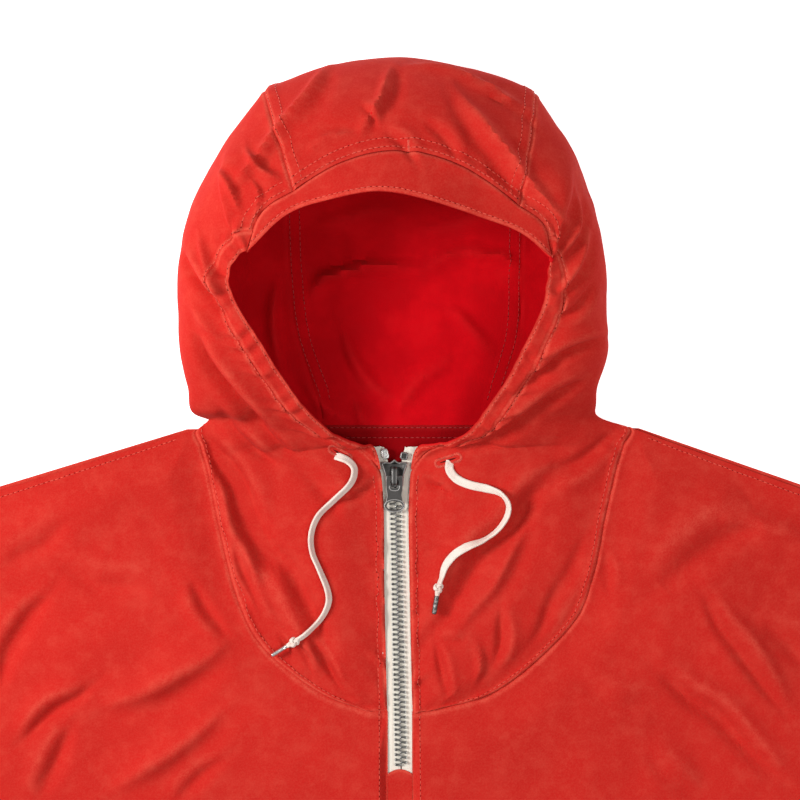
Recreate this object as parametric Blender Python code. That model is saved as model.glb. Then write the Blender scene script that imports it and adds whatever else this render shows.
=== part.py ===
"""A pullover anorak with a drawcord hood and a short neck zip, lying flat on its back.

The maker's frame has its origin at the middle of the back neck, +Y towards the crown, +X to the
garment's left as it lies face up, and the surface that it lies on at Z = 0. Tables are in
millimetres. Their z columns give how far the cloth's underside is lifted off that surface. The
empty at the end carries everything so that the middle of the whole footprint is the origin.
"""

import math

import bmesh
import bpy
import numpy as np
from mathutils import Vector
from mathutils.bvhtree import BVHTree

PART = "anorak_pullover"
MM = 0.001

# Cloth and seams.
CLOTH = 1.5            # wall of one layer of cloth
CHANNEL_WALL = 2.4     # the folded channel with the cord inside it
SEAM_GAP = 0.3
SEAM_DRAW = 0.18       # how far a panel's edge stops short of its seam line
EDGE_DRAW = 1.15       # more on the channel and the visor, which are stiffer there
ON_BACK = CLOTH + SEAM_GAP    # lift of a layer that lies on the back panel
ROWS_BETWEEN = 2       # lofted rows for each row of a section table

# Body, laid flat.
SHOULDER = (290, -52)
UNDERARM = (300, -292)
HEM_CORNER = (306, -690)
HEM_MIDDLE = -704
BACK_SHOWS = 3.0       # strip of the back panel that shows past each shoulder seam
BACK_DRAW = 0.6        # how far its neckline stops short of the hood
NECK_POINT = (6, -0.5)    # from the end of the neckline to where the shoulder strip starts

# Sleeves: the top fold runs on from the shoulder, the other from the underarm.
SLEEVE_LENGTH = 580
SLEEVE_DROP = math.radians(38)
CUFF_WIDTH = 122
SLEEVE_RINGS = 9
SLEEVE_ROOM = 1.2      # air between its two layers
SLEEVE_BOW = (7.2, 12)    # how far the top and the under fold bow out
CUFF_TURN = 0.1        # the cuff's slant to the sleeve, in radians

# Neck zip and its placket.
PLACKET_HALF = 8.2
PLACKET_LIFT = 4.5
PLACKET_END = -286
TAPE_REACH = (15, 12.5)   # from the zip's middle to a tape's outer edge, at its top and its end
TAPE_FLARE = 6.8          # from the zip's middle to a tape's inner edge at its top
TAPE_SPLIT = 0.4          # the same below the slider
TAPE = 0.9
TAPE_Z = 3.2
ZIP_TOP = -14
ZIP_END = -226
ZIP_TOP_X = -3.6
ZIP_END_X = 0.8
CHAIN_HALF = 4.0
CHAIN = 2.0
CHAIN_END = 4             # how far the chain stops short of the tapes' end
UNDERLAY_CROWN = 3        # rise of the underlay's rounded top edge
CHANNEL_WIDTH = 12.5
CHANNEL_FADE = 1.5        # rows over which the channel narrows to nothing beside the zip
STOPS = (
    # name, x and y of its middle, width, length, turn in degrees, finish
    ("zip_stop_left", -9.7, -18.6, 4.0, 5.6, 14, "bright_nickel"),
    ("zip_stop_right", 2.7, -20.0, 4.2, 4.2, -12, "aged_nickel"),
)
STOP_HEIGHT = 2.2

# Zip slider and pull. The pull swings on a bar along X in the slider's bridge. The slider's
# outline is the right half of it, from its crowned top edge down, about its own middle.
SLIDER_TOP = -22
SLIDER_END = -40
SLIDER_HEIGHT = 3.4
SLIDER_OUTLINE = ((0, 9.0), (2.6, 7.0), (5.4, 7.3), (8.4, 7.0), (8.5, 5.6), (6.2, -1.2), (5.6, -8.4),
                  (4.4, -9.0))
BRIDGE_HALF = 1.6
BRIDGE_TOP = 12.2
BRIDGE_UNDER = 10.7
BRIDGE_SINK = 0.6         # how far its feet stand in the slider
# y of the bridge's outer corners, its shoulders and its window, from the pull's bar.
BRIDGE_ENDS = (-6.2, 7.2)
BRIDGE_SHOULDERS = (-5.1, 6.1)
BRIDGE_WINDOW = (-3.6, 4.6)
BRIDGE_SHOULDER_Z = 10.9
PULL_AXIS = (ZIP_TOP_X, -33.5, 9.3)
PULL_PLATE = 1.2
PULL_TILT = math.radians(4.7)
PULL_HALF_OUTLINE = ((3.6, 0.8), (5.2, 0.2), (5.3, -7.0), (4.7, -11.6), (5.0, -13.6))
PULL_RING = (-18.6, 6.9, 4.4)       # y of its middle, half width and half height
PULL_WINDOW = (5.1, 2.9)
PULL_EYE = (2.5, -0.9, -7.0)        # half width, and where it starts and ends

# Drawcords.
CORD_RADIUS = 1.8
CORD_CLEAR = 0.5
CORD_POINTS = 46
CORD_EASING = 4        # passes that let the cord bridge over hollows
KNOT = (4.4, 3.6, 3.0)
AGLET_RADIUS = 1.8
AGLET_LENGTH = 12.5

# One row for each section of a hood side, from the visor's seam over the crown, down the back to
# the neck, round to the shoulder and down the scoop seam to the zip. A section leaves the seam,
# swells out to the side and comes back to the face edge or the zip.
# Columns: seam_x, seam_y, seam_z, side_x, side_y, top_z, edge_x, edge_y, edge_z.
HOOD_LEFT = (
    (-65, 144, 92, -85, 131, 90, -94, 108, 84),
    (-76, 179, 82, -108, 150, 92, -98, 106, 84),
    (-85, 209, 50, -112, 163, 85, -101, 102, 84),
    (-82, 209, 14, -124, 154, 78, -104, 98, 84),
    (-78, 185, 2, -134, 135, 76, -105, 93, 83),
    (-74, 146, 0, -139, 107, 74, -105, 87, 82),
    (-72, 100, 0, -140, 76, 70, -100, 74, 78),
    (-67, 58, 0, -139, 47, 62, -87, 53, 70),
    (-51, 0, 0, -135, 25, 52, -73, 30, 58),
    (-90, -2, 0, -132, 9, 40, -60, 12, 44),
    (-130, -2, 3, -110, 4, 30, -41, -6, 28),
    (-129, -15, 2.6, -98, -9, 21, -25, -12, 17),
    (-125, -30, 2, -76, -21, 14, -15.4, -16.5, 8),
    (-117, -69, 2, -65, -62, 7, -10.8, -49, 4.5),
    (-106, -111, 2, -58, -101, 7, -10.2, -101, 4.5),
    (-90, -143, 2, -51, -140, 7, -9.3, -143, 4.5),
    (-55, -172, 3, -31, -169, 6, -8.6, -172, 4.5),
    (-21, -186, 4, -14, -186, 4.5, -8.2, -187, 4.5),
)
HOOD_RIGHT = (
    (73, 135, 92, 88, 124, 90, 93, 105, 84),
    (80, 172, 82, 101, 144, 92, 93, 103, 84),
    (86, 208, 50, 108, 163, 85, 92, 100, 84),
    (84, 208, 14, 116, 154, 78, 91, 96, 84),
    (82, 185, 2, 124, 132, 76, 91, 91, 83),
    (80, 146, 0, 128, 107, 74, 90, 86, 82),
    (79, 100, 0, 130, 73, 70, 87, 71, 78),
    (77, 58, 0, 131, 47, 62, 76, 48, 70),
    (64, 0, 0, 126, 25, 52, 67, 29, 58),
    (104, -1, 0, 124, 13, 42, 54, 9, 44),
    (147, -1, 3, 113, 3, 30, 41, -6, 28),
    (145, -13, 2.6, 101, -8, 21, 24, -12, 17),
    (141, -26, 2, 91, -18, 14, 9.8, -16, 8),
    (133, -61, 2, 71, -59, 7, 5.8, -49, 4.5),
    (126, -95, 2, 68, -96, 7, 6.1, -94, 4.5),
    (112, -129, 2, 62, -133, 7, 7.0, -140, 4.5),
    (65, -171, 3, 36, -169, 6, 7.7, -172, 4.5),
    (21, -185, 4, 14, -186, 4.5, 8.2, -187, 4.5),
)
BACK_NECK_ROW = 8      # where the centre panel ends
SHOULDER_ROW = 10      # where the back neck meets the shoulder seam
ZIP_ROW = 12           # where the face edge meets the zip

# The centre panel's middle, row for row with the hood sides down to the back neck: mid_y, mid_z.
CENTRE = ((168, 97), (200, 88), (229, 50), (231, 14), (207, 2), (150, 0), (100, 0), (58, 0), (0, 0))

# The visor's free edge, from its left tip to its right tip: x, y, z.
VISOR = ((-94, 107, 85), (-68, 130, 92), (-36, 139.5, 100), (-9, 142.5, 104), (22, 136, 102),
         (52, 126.5, 96), (74, 118, 91), (92, 104, 90))

# x and y of the front panel's outer edge: down the shoulder's end and the side, then along the
# hem to its middle. One row for each row of the scoop seam and the placket.
FRONT_REACH = ((290, -52), (292, -100), (294, -150), (298, -240), (300, -292), (303, -480), (306, -690),
               (190, -699), (110, -702), (60, -704), (0, -704))

# The largest folds of the front: a soft ridge, or a trough where the height is below zero.
# Columns: from_x, from_y, to_x, to_y, half_width, height.
FRONT_FOLDS = (
    (-187, -180, -117, -144, 13, 5.0),
    (-260, -165, -230, -114, 12, -3.0),
    (-244, -205, -203, -172, 12, -3.0),
    (-182, -237, -117, -187, 14, 4.0),
    (176, -70, 231, -108, 22, 4.0),
    (197, -114, 244, -183, 14, 3.5),
    (117, -172, 162, -185, 12, 4.0),
    (160, -219, 190, -237, 12, 3.0),
    (-120, -420, 40, -520, 24, 5.0),
    (90, -380, 210, -470, 22, 4.5),
    (-230, -560, -120, -600, 20, 4.0),
)

# The drawcords' routes, x and y. The last two points of each are its knot and its metal tip.
CORD_LEFT = (
    (-41.6, -19.5), (-33.6, -22.8), (-29.3, -28.6), (-31.9, -37.7), (-42.3, -48.1),
    (-52.7, -58.5), (-57.2, -70.2), (-56.6, -81.9), (-52.0, -93.0), (-46.8, -106.0),
    (-46.2, -115.0), (-51.4, -125.5), (-60.5, -134.6), (-68.3, -139.8), (-85.8, -150.8),
)
CORD_RIGHT = (
    (32.5, -22.8), (31.9, -28.6), (36.4, -34.5), (44.9, -38.4), (56.6, -41.0), (65.0, -44.2),
    (69.6, -50.7), (68.9, -58.5), (63.0, -67.6), (54.0, -74.1), (43.6, -78.0), (35.1, -83.2),
    (29.3, -90.4), (26.7, -98.2), (24.7, -104.7), (21.5, -124.0),
)

# Colour, roughness and metallic value of each finish.
FINISHES = {
    "shell_cotton": ((0.62, 0.05, 0.03), 0.85, 0.0),
    "zip_tape": ((0.85, 0.79, 0.66), 0.8, 0.0),
    "cord_cotton": ((0.85, 0.78, 0.68), 0.85, 0.0),
    "aged_nickel": ((0.23, 0.21, 0.19), 0.4, 1.0),
    "bright_nickel": ((0.6, 0.58, 0.55), 0.3, 1.0),
}


def clear_scene():
    for obj in list(bpy.data.objects):
        bpy.data.objects.remove(obj, do_unlink=True)


def finish(name):
    material = bpy.data.materials.get(name)
    if material is None:
        colour, roughness, metallic = FINISHES[name]
        material = bpy.data.materials.new(name)
        material.use_nodes = True
        shader = material.node_tree.nodes["Principled BSDF"]
        shader.inputs["Base Color"].default_value = (*colour, 1)
        shader.inputs["Roughness"].default_value = roughness
        shader.inputs["Metallic"].default_value = metallic
    return material


def add_object(name, data, collection, material, parent=None, location=(0, 0, 0)):
    obj = bpy.data.objects.new(name, data)
    collection.objects.link(obj)
    data.materials.append(finish(material))
    obj.location = Vector(location) * MM
    obj.parent = parent
    return obj


def add_faces(name, points, faces, collection, material, location=(0, 0, 0)):
    """A closed mesh object from points in millimetres about location."""
    mesh = bpy.data.meshes.new(name)
    mesh.from_pydata([tuple(float(c) * MM for c in point) for point in points], [], faces)
    mesh.validate()
    work = bmesh.new()
    work.from_mesh(mesh)
    bmesh.ops.recalc_face_normals(work, faces=work.faces)
    work.to_mesh(mesh)
    work.free()
    mesh.shade_smooth()
    mesh.set_sharp_from_angle(angle=math.radians(40))
    return add_object(name, mesh, collection, material, location=location)


def smooth_rows(table, between=ROWS_BETWEEN):
    """Catmull-Rom rows through a table's rows, with its columns kept."""
    rows = np.array(table, float)
    ends = np.vstack([2 * rows[0] - rows[1], rows, 2 * rows[-1] - rows[-2]])
    made = []
    for i in range(len(rows) - 1):
        a, b, c, d = ends[i:i + 4]
        for step in range(between):
            t = step / between
            made.append(0.5 * (2 * b + (c - a) * t + (2 * a - 5 * b + 4 * c - d) * t ** 2
                               + (3 * b - a - 3 * c + d) * t ** 3))
    made.append(rows[-1])
    return np.array(made)


def spaced(points, fractions):
    """Points at these fractions of a polyline's length."""
    steps = np.linalg.norm(np.diff(points, axis=0), axis=1)
    along = np.concatenate([[0], np.cumsum(steps)])
    return np.column_stack([np.interp(np.array(fractions) * along[-1], along, points[:, k])
                            for k in range(3)])


def length_of(points):
    return float(np.linalg.norm(np.diff(points, axis=0), axis=1).sum())


def bezier(controls, count=40):
    t = np.linspace(0, 1, count)[:, None]
    a, b, c, d = controls
    return (1 - t) ** 3 * a + 3 * (1 - t) ** 2 * t * b + 3 * (1 - t) * t ** 2 * c + t ** 3 * d


def side_section(row):
    """The curve of one hood side section: it passes its side point half way."""
    seam, edge = row[0:3], row[6:9]
    swell = (8 * row[3:5] - seam[:2] - edge[:2]) / 6
    low = np.array([*swell, seam[2]])
    high = np.array([*swell, row[5]])
    curve = bezier((seam, low, high, edge))
    curve[:, 2] = np.maximum(curve[:, 2], 0) + CLOTH / 2
    return curve


def side_grids(table, across=9, channel_across=3):
    """The mid-surface of a hood side, and that of the channel along its face edge."""
    panel, channel = [], []
    last_channel = ZIP_ROW * ROWS_BETWEEN
    for i, row in enumerate(smooth_rows(table)):
        curve = side_section(row)
        whole = length_of(curve)
        width = CHANNEL_WIDTH * min(1, (last_channel + 1 - i) / CHANNEL_FADE)
        split = 1 - max(width, 0) / whole
        panel.append(spaced(curve, np.linspace(0, split, across + 1)))
        if i <= last_channel:
            channel.append(spaced(curve, np.linspace(split, 1, channel_across + 1)))
    return np.array(panel), np.array(channel)


def centre_grid(left, right, across=12):
    rows = smooth_rows(CENTRE)
    grid = []
    for i, (mid_y, mid_z) in enumerate(rows):
        a, b = left[i, 0], right[i, 0]
        middle = np.array([(a[0] + b[0]) / 2, mid_y, max(mid_z, 0) + CLOTH / 2])
        top = 2 * middle - (a + b) / 2
        t = np.linspace(0, 1, 40)[:, None]
        curve = (1 - t) ** 2 * a + 2 * (1 - t) * t * top + t ** 2 * b
        grid.append(spaced(curve, np.linspace(0, 1, across + 1)))
    return np.array(grid)


def visor_grid(left_row, centre_row, right_row, across=3):
    """From the seam along the front of the hood to the free edge."""
    seam = np.vstack([left_row[::-1], centre_row[1:-1], right_row])
    steps = np.linalg.norm(np.diff(seam, axis=0), axis=1)
    along = np.concatenate([[0], np.cumsum(steps)]) / steps.sum()
    free = spaced(smooth_rows(VISOR, 6) + [0, 0, CLOTH / 2], along)
    shares = np.linspace(0, 1, across + 1)
    return np.array([[a + (b - a) * s for s in shares] for a, b in zip(seam, free)])


def lift_by_folds(points, folds):
    """Adds each fold's height, which fades from its middle to its sides and ends."""
    lifted = points.copy()
    for x0, y0, x1, y1, half_width, height in folds:
        start, run = np.array([x0, y0]), np.array([x1 - x0, y1 - y0])
        length = np.linalg.norm(run)
        away = points[..., :2] - start
        along = (away @ run) / length ** 2
        across = (away @ np.array([-run[1], run[0]])) / length
        fade = np.clip(1.15 - np.abs(2 * along - 1), 0, 1)
        lifted[..., 2] += height * fade * np.exp(-(across / half_width) ** 2)
    return lifted


def front_grid(left, right, across=11):
    """A fan from the scoop seam and placket out to the shoulders, sides and hem."""
    halves = []
    for side, panel in ((-1, left), (1, right)):
        seam = panel[SHOULDER_ROW * ROWS_BETWEEN:, 0]
        corner = panel[-1, -1]
        level = CLOTH / 2 + PLACKET_LIFT
        foot = [side * PLACKET_HALF, PLACKET_END, level]
        inner = np.vstack([seam, [corner], [(corner + foot) / 2], [foot],
                           [[0, PLACKET_END - 1, level]]])
        reach = np.array(FRONT_REACH, float) * [side, 1]
        rows = np.concatenate([np.arange(SHOULDER_ROW, len(HOOD_LEFT) - 0.9, 1 / ROWS_BETWEEN),
                               np.linspace(len(HOOD_LEFT), len(HOOD_LEFT) + 2, 4)])
        known = np.arange(SHOULDER_ROW, SHOULDER_ROW + len(reach))
        outer = np.column_stack([np.interp(rows, known, reach[:, 0]),
                                 np.interp(rows, known, reach[:, 1]),
                                 np.full(len(rows), ON_BACK + CLOTH / 2)])
        halves.append((inner, outer))
    inner = np.vstack([halves[0][0], halves[1][0][-2::-1]])
    outer = np.vstack([halves[0][1], halves[1][1][-2::-1]])
    shares = np.linspace(0, 1, across + 1) ** 1.25
    fan = np.array([[a + (b - a) * s for s in shares] for a, b in zip(inner, outer)])
    fan[:, 1:-1] = lift_by_folds(fan[:, 1:-1], FRONT_FOLDS)
    fan[..., 2] = np.maximum(fan[..., 2], ON_BACK + CLOTH / 2)
    return fan


def grid_normals(grid):
    """Area-weighted normals at a grid's points."""
    normals = np.zeros_like(grid)
    a, b, c, d = grid[:-1, :-1], grid[1:, :-1], grid[1:, 1:], grid[:-1, 1:]
    face = np.cross(c - a, d - b)
    for i, j in ((0, 0), (1, 0), (1, 1), (0, 1)):
        normals[i:i + len(face), j:j + face.shape[1]] += face
    return normals


def place_key(point):
    return tuple(np.round(point, 2))


def share_normals(grids):
    """Unit normals of all grids, averaged where their points meet at a seam."""
    total = {}
    found = {name: grid_normals(grid) for name, grid in grids.items()}
    for name, grid in grids.items():
        for point, normal in zip(grid.reshape(-1, 3), found[name].reshape(-1, 3)):
            key = place_key(point)
            total[key] = total.get(key, 0) + normal
    shared = {}
    for name, grid in grids.items():
        out = np.array([total[place_key(point)] for point in grid.reshape(-1, 3)])
        out /= np.maximum(np.linalg.norm(out, axis=1, keepdims=True), 1e-9)
        lying = grid.reshape(-1, 3)[:, 2] < CLOTH / 2 + 0.02
        out[lying] = np.sign(out[lying, 2:3]) * [0, 0, 1]
        shared[name] = out.reshape(grid.shape)
    return shared


def drawn_in(grid, sides, draw):
    """The grid with the named sides moved in, so that a gap is left along each seam."""
    grid = grid.copy()
    for side in sides:
        axis, edge, inner = {"start": (0, 0, 1), "end": (0, -1, -2), "left": (1, 0, 1),
                             "right": (1, -1, -2)}[side]
        line = grid[edge] if axis == 0 else grid[:, edge]
        beside = grid[inner] if axis == 0 else grid[:, inner]
        step = beside - line
        size = np.maximum(np.linalg.norm(step, axis=1, keepdims=True), 1e-6)
        line += step / size * np.minimum(draw, size * 0.4)
    return grid


def cloth(name, grid, normals, wall, collection, material="shell_cotton"):
    """A closed wall of cloth about its mid-surface."""
    rows, columns = grid.shape[:2]
    outer = (grid + normals * wall / 2).reshape(-1, 3)
    inner = (grid - normals * wall / 2).reshape(-1, 3)
    count = rows * columns

    def at(i, j):
        return i * columns + j

    faces = []
    for i in range(rows - 1):
        for j in range(columns - 1):
            quad = (at(i, j), at(i + 1, j), at(i + 1, j + 1), at(i, j + 1))
            faces.append(quad)
            faces.append(tuple(k + count for k in reversed(quad)))
    rim = ([at(i, 0) for i in range(rows)] + [at(rows - 1, j) for j in range(1, columns)]
           + [at(i, columns - 1) for i in range(rows - 2, -1, -1)]
           + [at(0, j) for j in range(columns - 2, 0, -1)])
    for a, b in zip(rim, rim[1:] + rim[:1]):
        faces.append((b, a, a + count, b + count))
    return add_faces(name, np.vstack([outer, inner]), faces, collection, material)


def flat_panel(name, outline, thickness, z, collection, material):
    """A flat piece from its outline, with its underside at z."""
    curve = bpy.data.curves.new(name, "CURVE")
    curve.dimensions = "2D"
    curve.fill_mode = "BOTH"
    curve.extrude = thickness / 2 * MM
    spline = curve.splines.new("POLY")
    spline.points.add(len(outline) - 1)
    for point, (x, y) in zip(spline.points, outline):
        point.co = (x * MM, y * MM, 0, 1)
    spline.use_cyclic_u = True
    return add_object(name, curve, collection, material, location=(0, 0, z + thickness / 2))


def build_hood(collection):
    left, channel_left = side_grids(HOOD_LEFT)
    right, channel_right = side_grids(HOOD_RIGHT)
    centre = centre_grid(left, right)
    # Each grid runs so that its normals point out of the hood.
    grids = {
        "hood_side_left": left,
        "hood_side_right": right[:, ::-1],
        "cord_channel_left": channel_left,
        "cord_channel_right": channel_right[:, ::-1],
        "hood_centre": centre[:, ::-1],
        "visor": visor_grid(np.vstack([left[0], channel_left[0][1:]]), centre[0],
                            np.vstack([right[0], channel_right[0][1:]]))[:, ::-1],
        "body_front": front_grid(left, right)[:, ::-1],
    }
    normals = share_normals(grids)
    gaps = {
        "hood_side_left": ("start", "left", "right", "end"),
        "hood_side_right": ("start", "left", "right", "end"),
        "cord_channel_left": ("start", "left", "end"),
        "cord_channel_right": ("start", "right", "end"),
        "hood_centre": ("start", "left", "right"),
        "visor": ("right", "start", "end"),
        "body_front": ("right",),
    }
    for name, grid in grids.items():
        wall = CHANNEL_WALL if name.startswith("cord_channel") else CLOTH
        draw = EDGE_DRAW if name.startswith(("cord_channel", "visor")) else SEAM_DRAW
        cloth(name, drawn_in(grid, gaps[name], draw), normals[name], wall, collection)
    return grids, normals


def build_back(grids, collection):
    """The back panel lies flat, with the hood's back sewn to its neckline."""
    left = grids["hood_side_left"][BACK_NECK_ROW * ROWS_BETWEEN:SHOULDER_ROW * ROWS_BETWEEN + 1, 0]
    right = grids["hood_side_right"][:, ::-1]
    right = right[BACK_NECK_ROW * ROWS_BETWEEN:SHOULDER_ROW * ROWS_BETWEEN + 1, 0]
    half = []
    for neck, side in ((left, -1), (right, 1)):
        line = [(x, y - BACK_DRAW) for x, y, _ in neck[:-1]]
        line.append((neck[-1][0], neck[-1][1] - 2 * BACK_DRAW))
        line.append((neck[-1][0] + side * NECK_POINT[0], neck[-1][1] + NECK_POINT[1]))
        half.append(line + [(side * SHOULDER[0], SHOULDER[1] + BACK_SHOWS),
                            (side * (UNDERARM[0] - 1), UNDERARM[1]),
                            (side * HEM_CORNER[0], HEM_CORNER[1])])
    hem = [(side * 190, -699) for side in (-1, 1)] + [(0, HEM_MIDDLE)]
    outline = half[0] + [hem[0], hem[2], hem[1]] + half[1][::-1]
    flat_panel("body_back", outline, CLOTH, 0, collection, "shell_cotton")


def sleeve_ring(top, under, height, lift, count=8):
    """A flattened ring across a sleeve, upright, from its top fold to its under fold."""
    top, under = np.array(top, float), np.array(under, float)
    width = np.linalg.norm(under - top)
    across = (under - top) / width
    end = height / 2
    ring = []
    for turn in np.linspace(math.pi / 2, 3 * math.pi / 2, 5):
        ring.append((end + end * math.cos(turn), end + end * math.sin(turn)))
    for share in np.linspace(0, 1, count)[1:-1]:
        ring.append((end + share * (width - 2 * end), 0))
    for turn in np.linspace(-math.pi / 2, math.pi / 2, 5):
        ring.append((width - end + end * math.cos(turn), end + end * math.sin(turn)))
    for share in np.linspace(1, 0, count)[1:-1]:
        ring.append((end + share * (width - 2 * end), height))
    return [(top[0] + across[0] * a, top[1] + across[1] * a, z + lift) for a, z in ring]


def build_sleeve(side, collection):
    """A tapered tube laid flat, open at the armhole and at the cuff."""
    name = "sleeve_left" if side < 0 else "sleeve_right"
    run = np.array([math.cos(SLEEVE_DROP), -math.sin(SLEEVE_DROP)])
    top_end = np.array(SHOULDER) + run * SLEEVE_LENGTH
    slant = SLEEVE_DROP + CUFF_TURN
    under_end = top_end - CUFF_WIDTH * np.array([math.sin(slant), math.cos(slant)])
    outer, inner = [], []
    height = 2 * CLOTH + SEAM_GAP + SLEEVE_ROOM
    for share in np.linspace(0, 1, SLEEVE_RINGS):
        bow = math.sin(math.pi * share)
        top = np.array(SHOULDER) + (top_end - SHOULDER) * share + [0, SLEEVE_BOW[0] * bow]
        under = np.array(UNDERARM) + (under_end - UNDERARM) * share + [0, SLEEVE_BOW[1] * bow]
        top, under = top * [side, 1], under * [side, 1]
        start = 2 * SEAM_GAP * (1 - share)
        top[0] += side * start
        under[0] += side * start
        inset = (under - top) / np.linalg.norm(under - top) * CLOTH
        outer.append(sleeve_ring(top, under, height, 0))
        inner.append(sleeve_ring(top + inset, under - inset, height - 2 * CLOTH, CLOTH))
    around = len(outer[0])
    points = [p for ring in outer for p in ring] + [p for ring in inner for p in ring]
    shift = around * SLEEVE_RINGS
    faces = []
    for k in range(around):
        after = (k + 1) % around
        for i in range(SLEEVE_RINGS - 1):
            a, b = i * around, (i + 1) * around
            faces.append((a + k, b + k, b + after, a + after))
            faces.append((shift + a + after, shift + b + after, shift + b + k, shift + a + k))
        last = (SLEEVE_RINGS - 1) * around
        faces.append((k, after, shift + after, shift + k))
        faces.append((last + after, last + k, shift + last + k, shift + last + after))
    add_faces(name, points, faces, collection, "shell_cotton")


def zip_x(y):
    share = (y - ZIP_TOP) / (ZIP_END - ZIP_TOP)
    return ZIP_TOP_X + share * (ZIP_END_X - ZIP_TOP_X)


def build_zip(collection):
    """The two tapes, the chain, the cloth that covers the tapes' end, and the two top stops."""
    for side, name in ((-1, "zip_tape_left"), (1, "zip_tape_right")):
        outline = [
            (zip_x(ZIP_TOP) + side * TAPE_REACH[0], ZIP_TOP),
            (zip_x(ZIP_TOP) + side * TAPE_FLARE, ZIP_TOP),
            (zip_x(SLIDER_END) + side * TAPE_SPLIT, SLIDER_END),
            (zip_x(ZIP_END) + side * TAPE_SPLIT, ZIP_END),
            (zip_x(ZIP_END) + side * TAPE_REACH[1], ZIP_END),
            (zip_x(SLIDER_END) + side * TAPE_REACH[1], SLIDER_END),
        ]
        flat_panel(name, outline, TAPE, TAPE_Z, collection, "zip_tape")
    chain_top = SLIDER_END - SEAM_GAP
    chain_end = ZIP_END + CHAIN_END
    outline = [
        (zip_x(chain_top) - CHAIN_HALF, chain_top), (zip_x(chain_top) + CHAIN_HALF, chain_top),
        (zip_x(chain_end) + CHAIN_HALF, chain_end), (zip_x(chain_end) - CHAIN_HALF, chain_end),
    ]
    chain_z = TAPE_Z + TAPE + SEAM_GAP
    flat_panel("zip_chain", outline, CHAIN, chain_z, collection, "aged_nickel")
    cover = PLACKET_HALF - SEAM_GAP
    rounding = [(x, ZIP_END + UNDERLAY_CROWN * (1 - (x / cover) ** 2))
                for x in np.linspace(cover, -cover, 7)]
    outline = [(-cover, PLACKET_END + 1), (cover, PLACKET_END + 1)] + rounding
    outline = [(x, min(y, chain_end - SEAM_GAP)) for x, y in outline]
    flat_panel("zip_underlay", outline, CLOTH, chain_z, collection, "shell_cotton")
    for name, x, y, width, length, turn, finish_name in STOPS:
        mesh = bpy.data.meshes.new(name)
        work = bmesh.new()
        bmesh.ops.create_cube(work, size=1)
        bmesh.ops.scale(work, vec=Vector((width, length, STOP_HEIGHT)) * MM, verts=work.verts)
        work.to_mesh(mesh)
        work.free()
        stop = add_object(name, mesh, collection, finish_name,
                          location=(x, y, chain_z + STOP_HEIGHT / 2))
        stop.rotation_euler = (0, 0, math.radians(turn))


def upright_solid(name, near, far):
    """A mesh between two matching outlines, in millimetres."""
    work = bmesh.new()
    first = [work.verts.new(Vector(point) * MM) for point in near]
    second = [work.verts.new(Vector(point) * MM) for point in far]
    work.faces.new(first)
    work.faces.new(second)
    for k in range(len(first)):
        after = (k + 1) % len(first)
        work.faces.new((first[k], first[after], second[after], second[k]))
    bmesh.ops.recalc_face_normals(work, faces=work.faces)
    bmesh.ops.triangulate(work, faces=work.faces)
    mesh = bpy.data.meshes.new(name)
    work.to_mesh(mesh)
    work.free()
    return mesh


def build_slider(collection):
    """One body: a crowned plate, and the bridge that holds the pull's bar."""
    base = TAPE_Z + TAPE + SEAM_GAP
    top = base + SLIDER_HEIGHT
    middle = (SLIDER_TOP + SLIDER_END) / 2
    plate = list(SLIDER_OUTLINE) + [(-x, y) for x, y in SLIDER_OUTLINE[:0:-1]]
    mesh = upright_solid("zip_slider", [(x, y, base) for x, y in plate],
                         [(x, y, top) for x, y in plate])
    slider = add_object("zip_slider", mesh, collection, "aged_nickel",
                        location=(ZIP_TOP_X, middle, 0))
    foot = top - BRIDGE_SINK
    rail = [
        (BRIDGE_ENDS[0], foot), (BRIDGE_ENDS[0], BRIDGE_SHOULDER_Z),
        (BRIDGE_SHOULDERS[0], BRIDGE_TOP), (BRIDGE_SHOULDERS[1], BRIDGE_TOP),
        (BRIDGE_ENDS[1], BRIDGE_SHOULDER_Z), (BRIDGE_ENDS[1], foot),
        (BRIDGE_WINDOW[1], foot), (BRIDGE_WINDOW[1], BRIDGE_UNDER),
        (BRIDGE_WINDOW[0], BRIDGE_UNDER), (BRIDGE_WINDOW[0], foot),
    ]
    bridge_mesh = upright_solid("slider_bridge", [(-BRIDGE_HALF, y, z) for y, z in rail],
                                [(BRIDGE_HALF, y, z) for y, z in rail])
    cutters = bpy.data.collections.new("joined_shapes")
    bpy.context.scene.collection.children.link(cutters)
    bridge = add_object("slider_bridge", bridge_mesh, cutters, "aged_nickel",
                        location=(ZIP_TOP_X, PULL_AXIS[1], 0))
    bridge.hide_render = True
    bridge.display_type = "WIRE"
    union = slider.modifiers.new("bridge", "BOOLEAN")
    union.operation = "UNION"
    union.object = bridge
    return bridge


def oval(middle_y, half_width, half_height, start, end, count):
    """Points round part of an oval, from one turn to another in radians."""
    return [(half_width * math.cos(turn), middle_y + half_height * math.sin(turn))
            for turn in np.linspace(start, end, count)]


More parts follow.
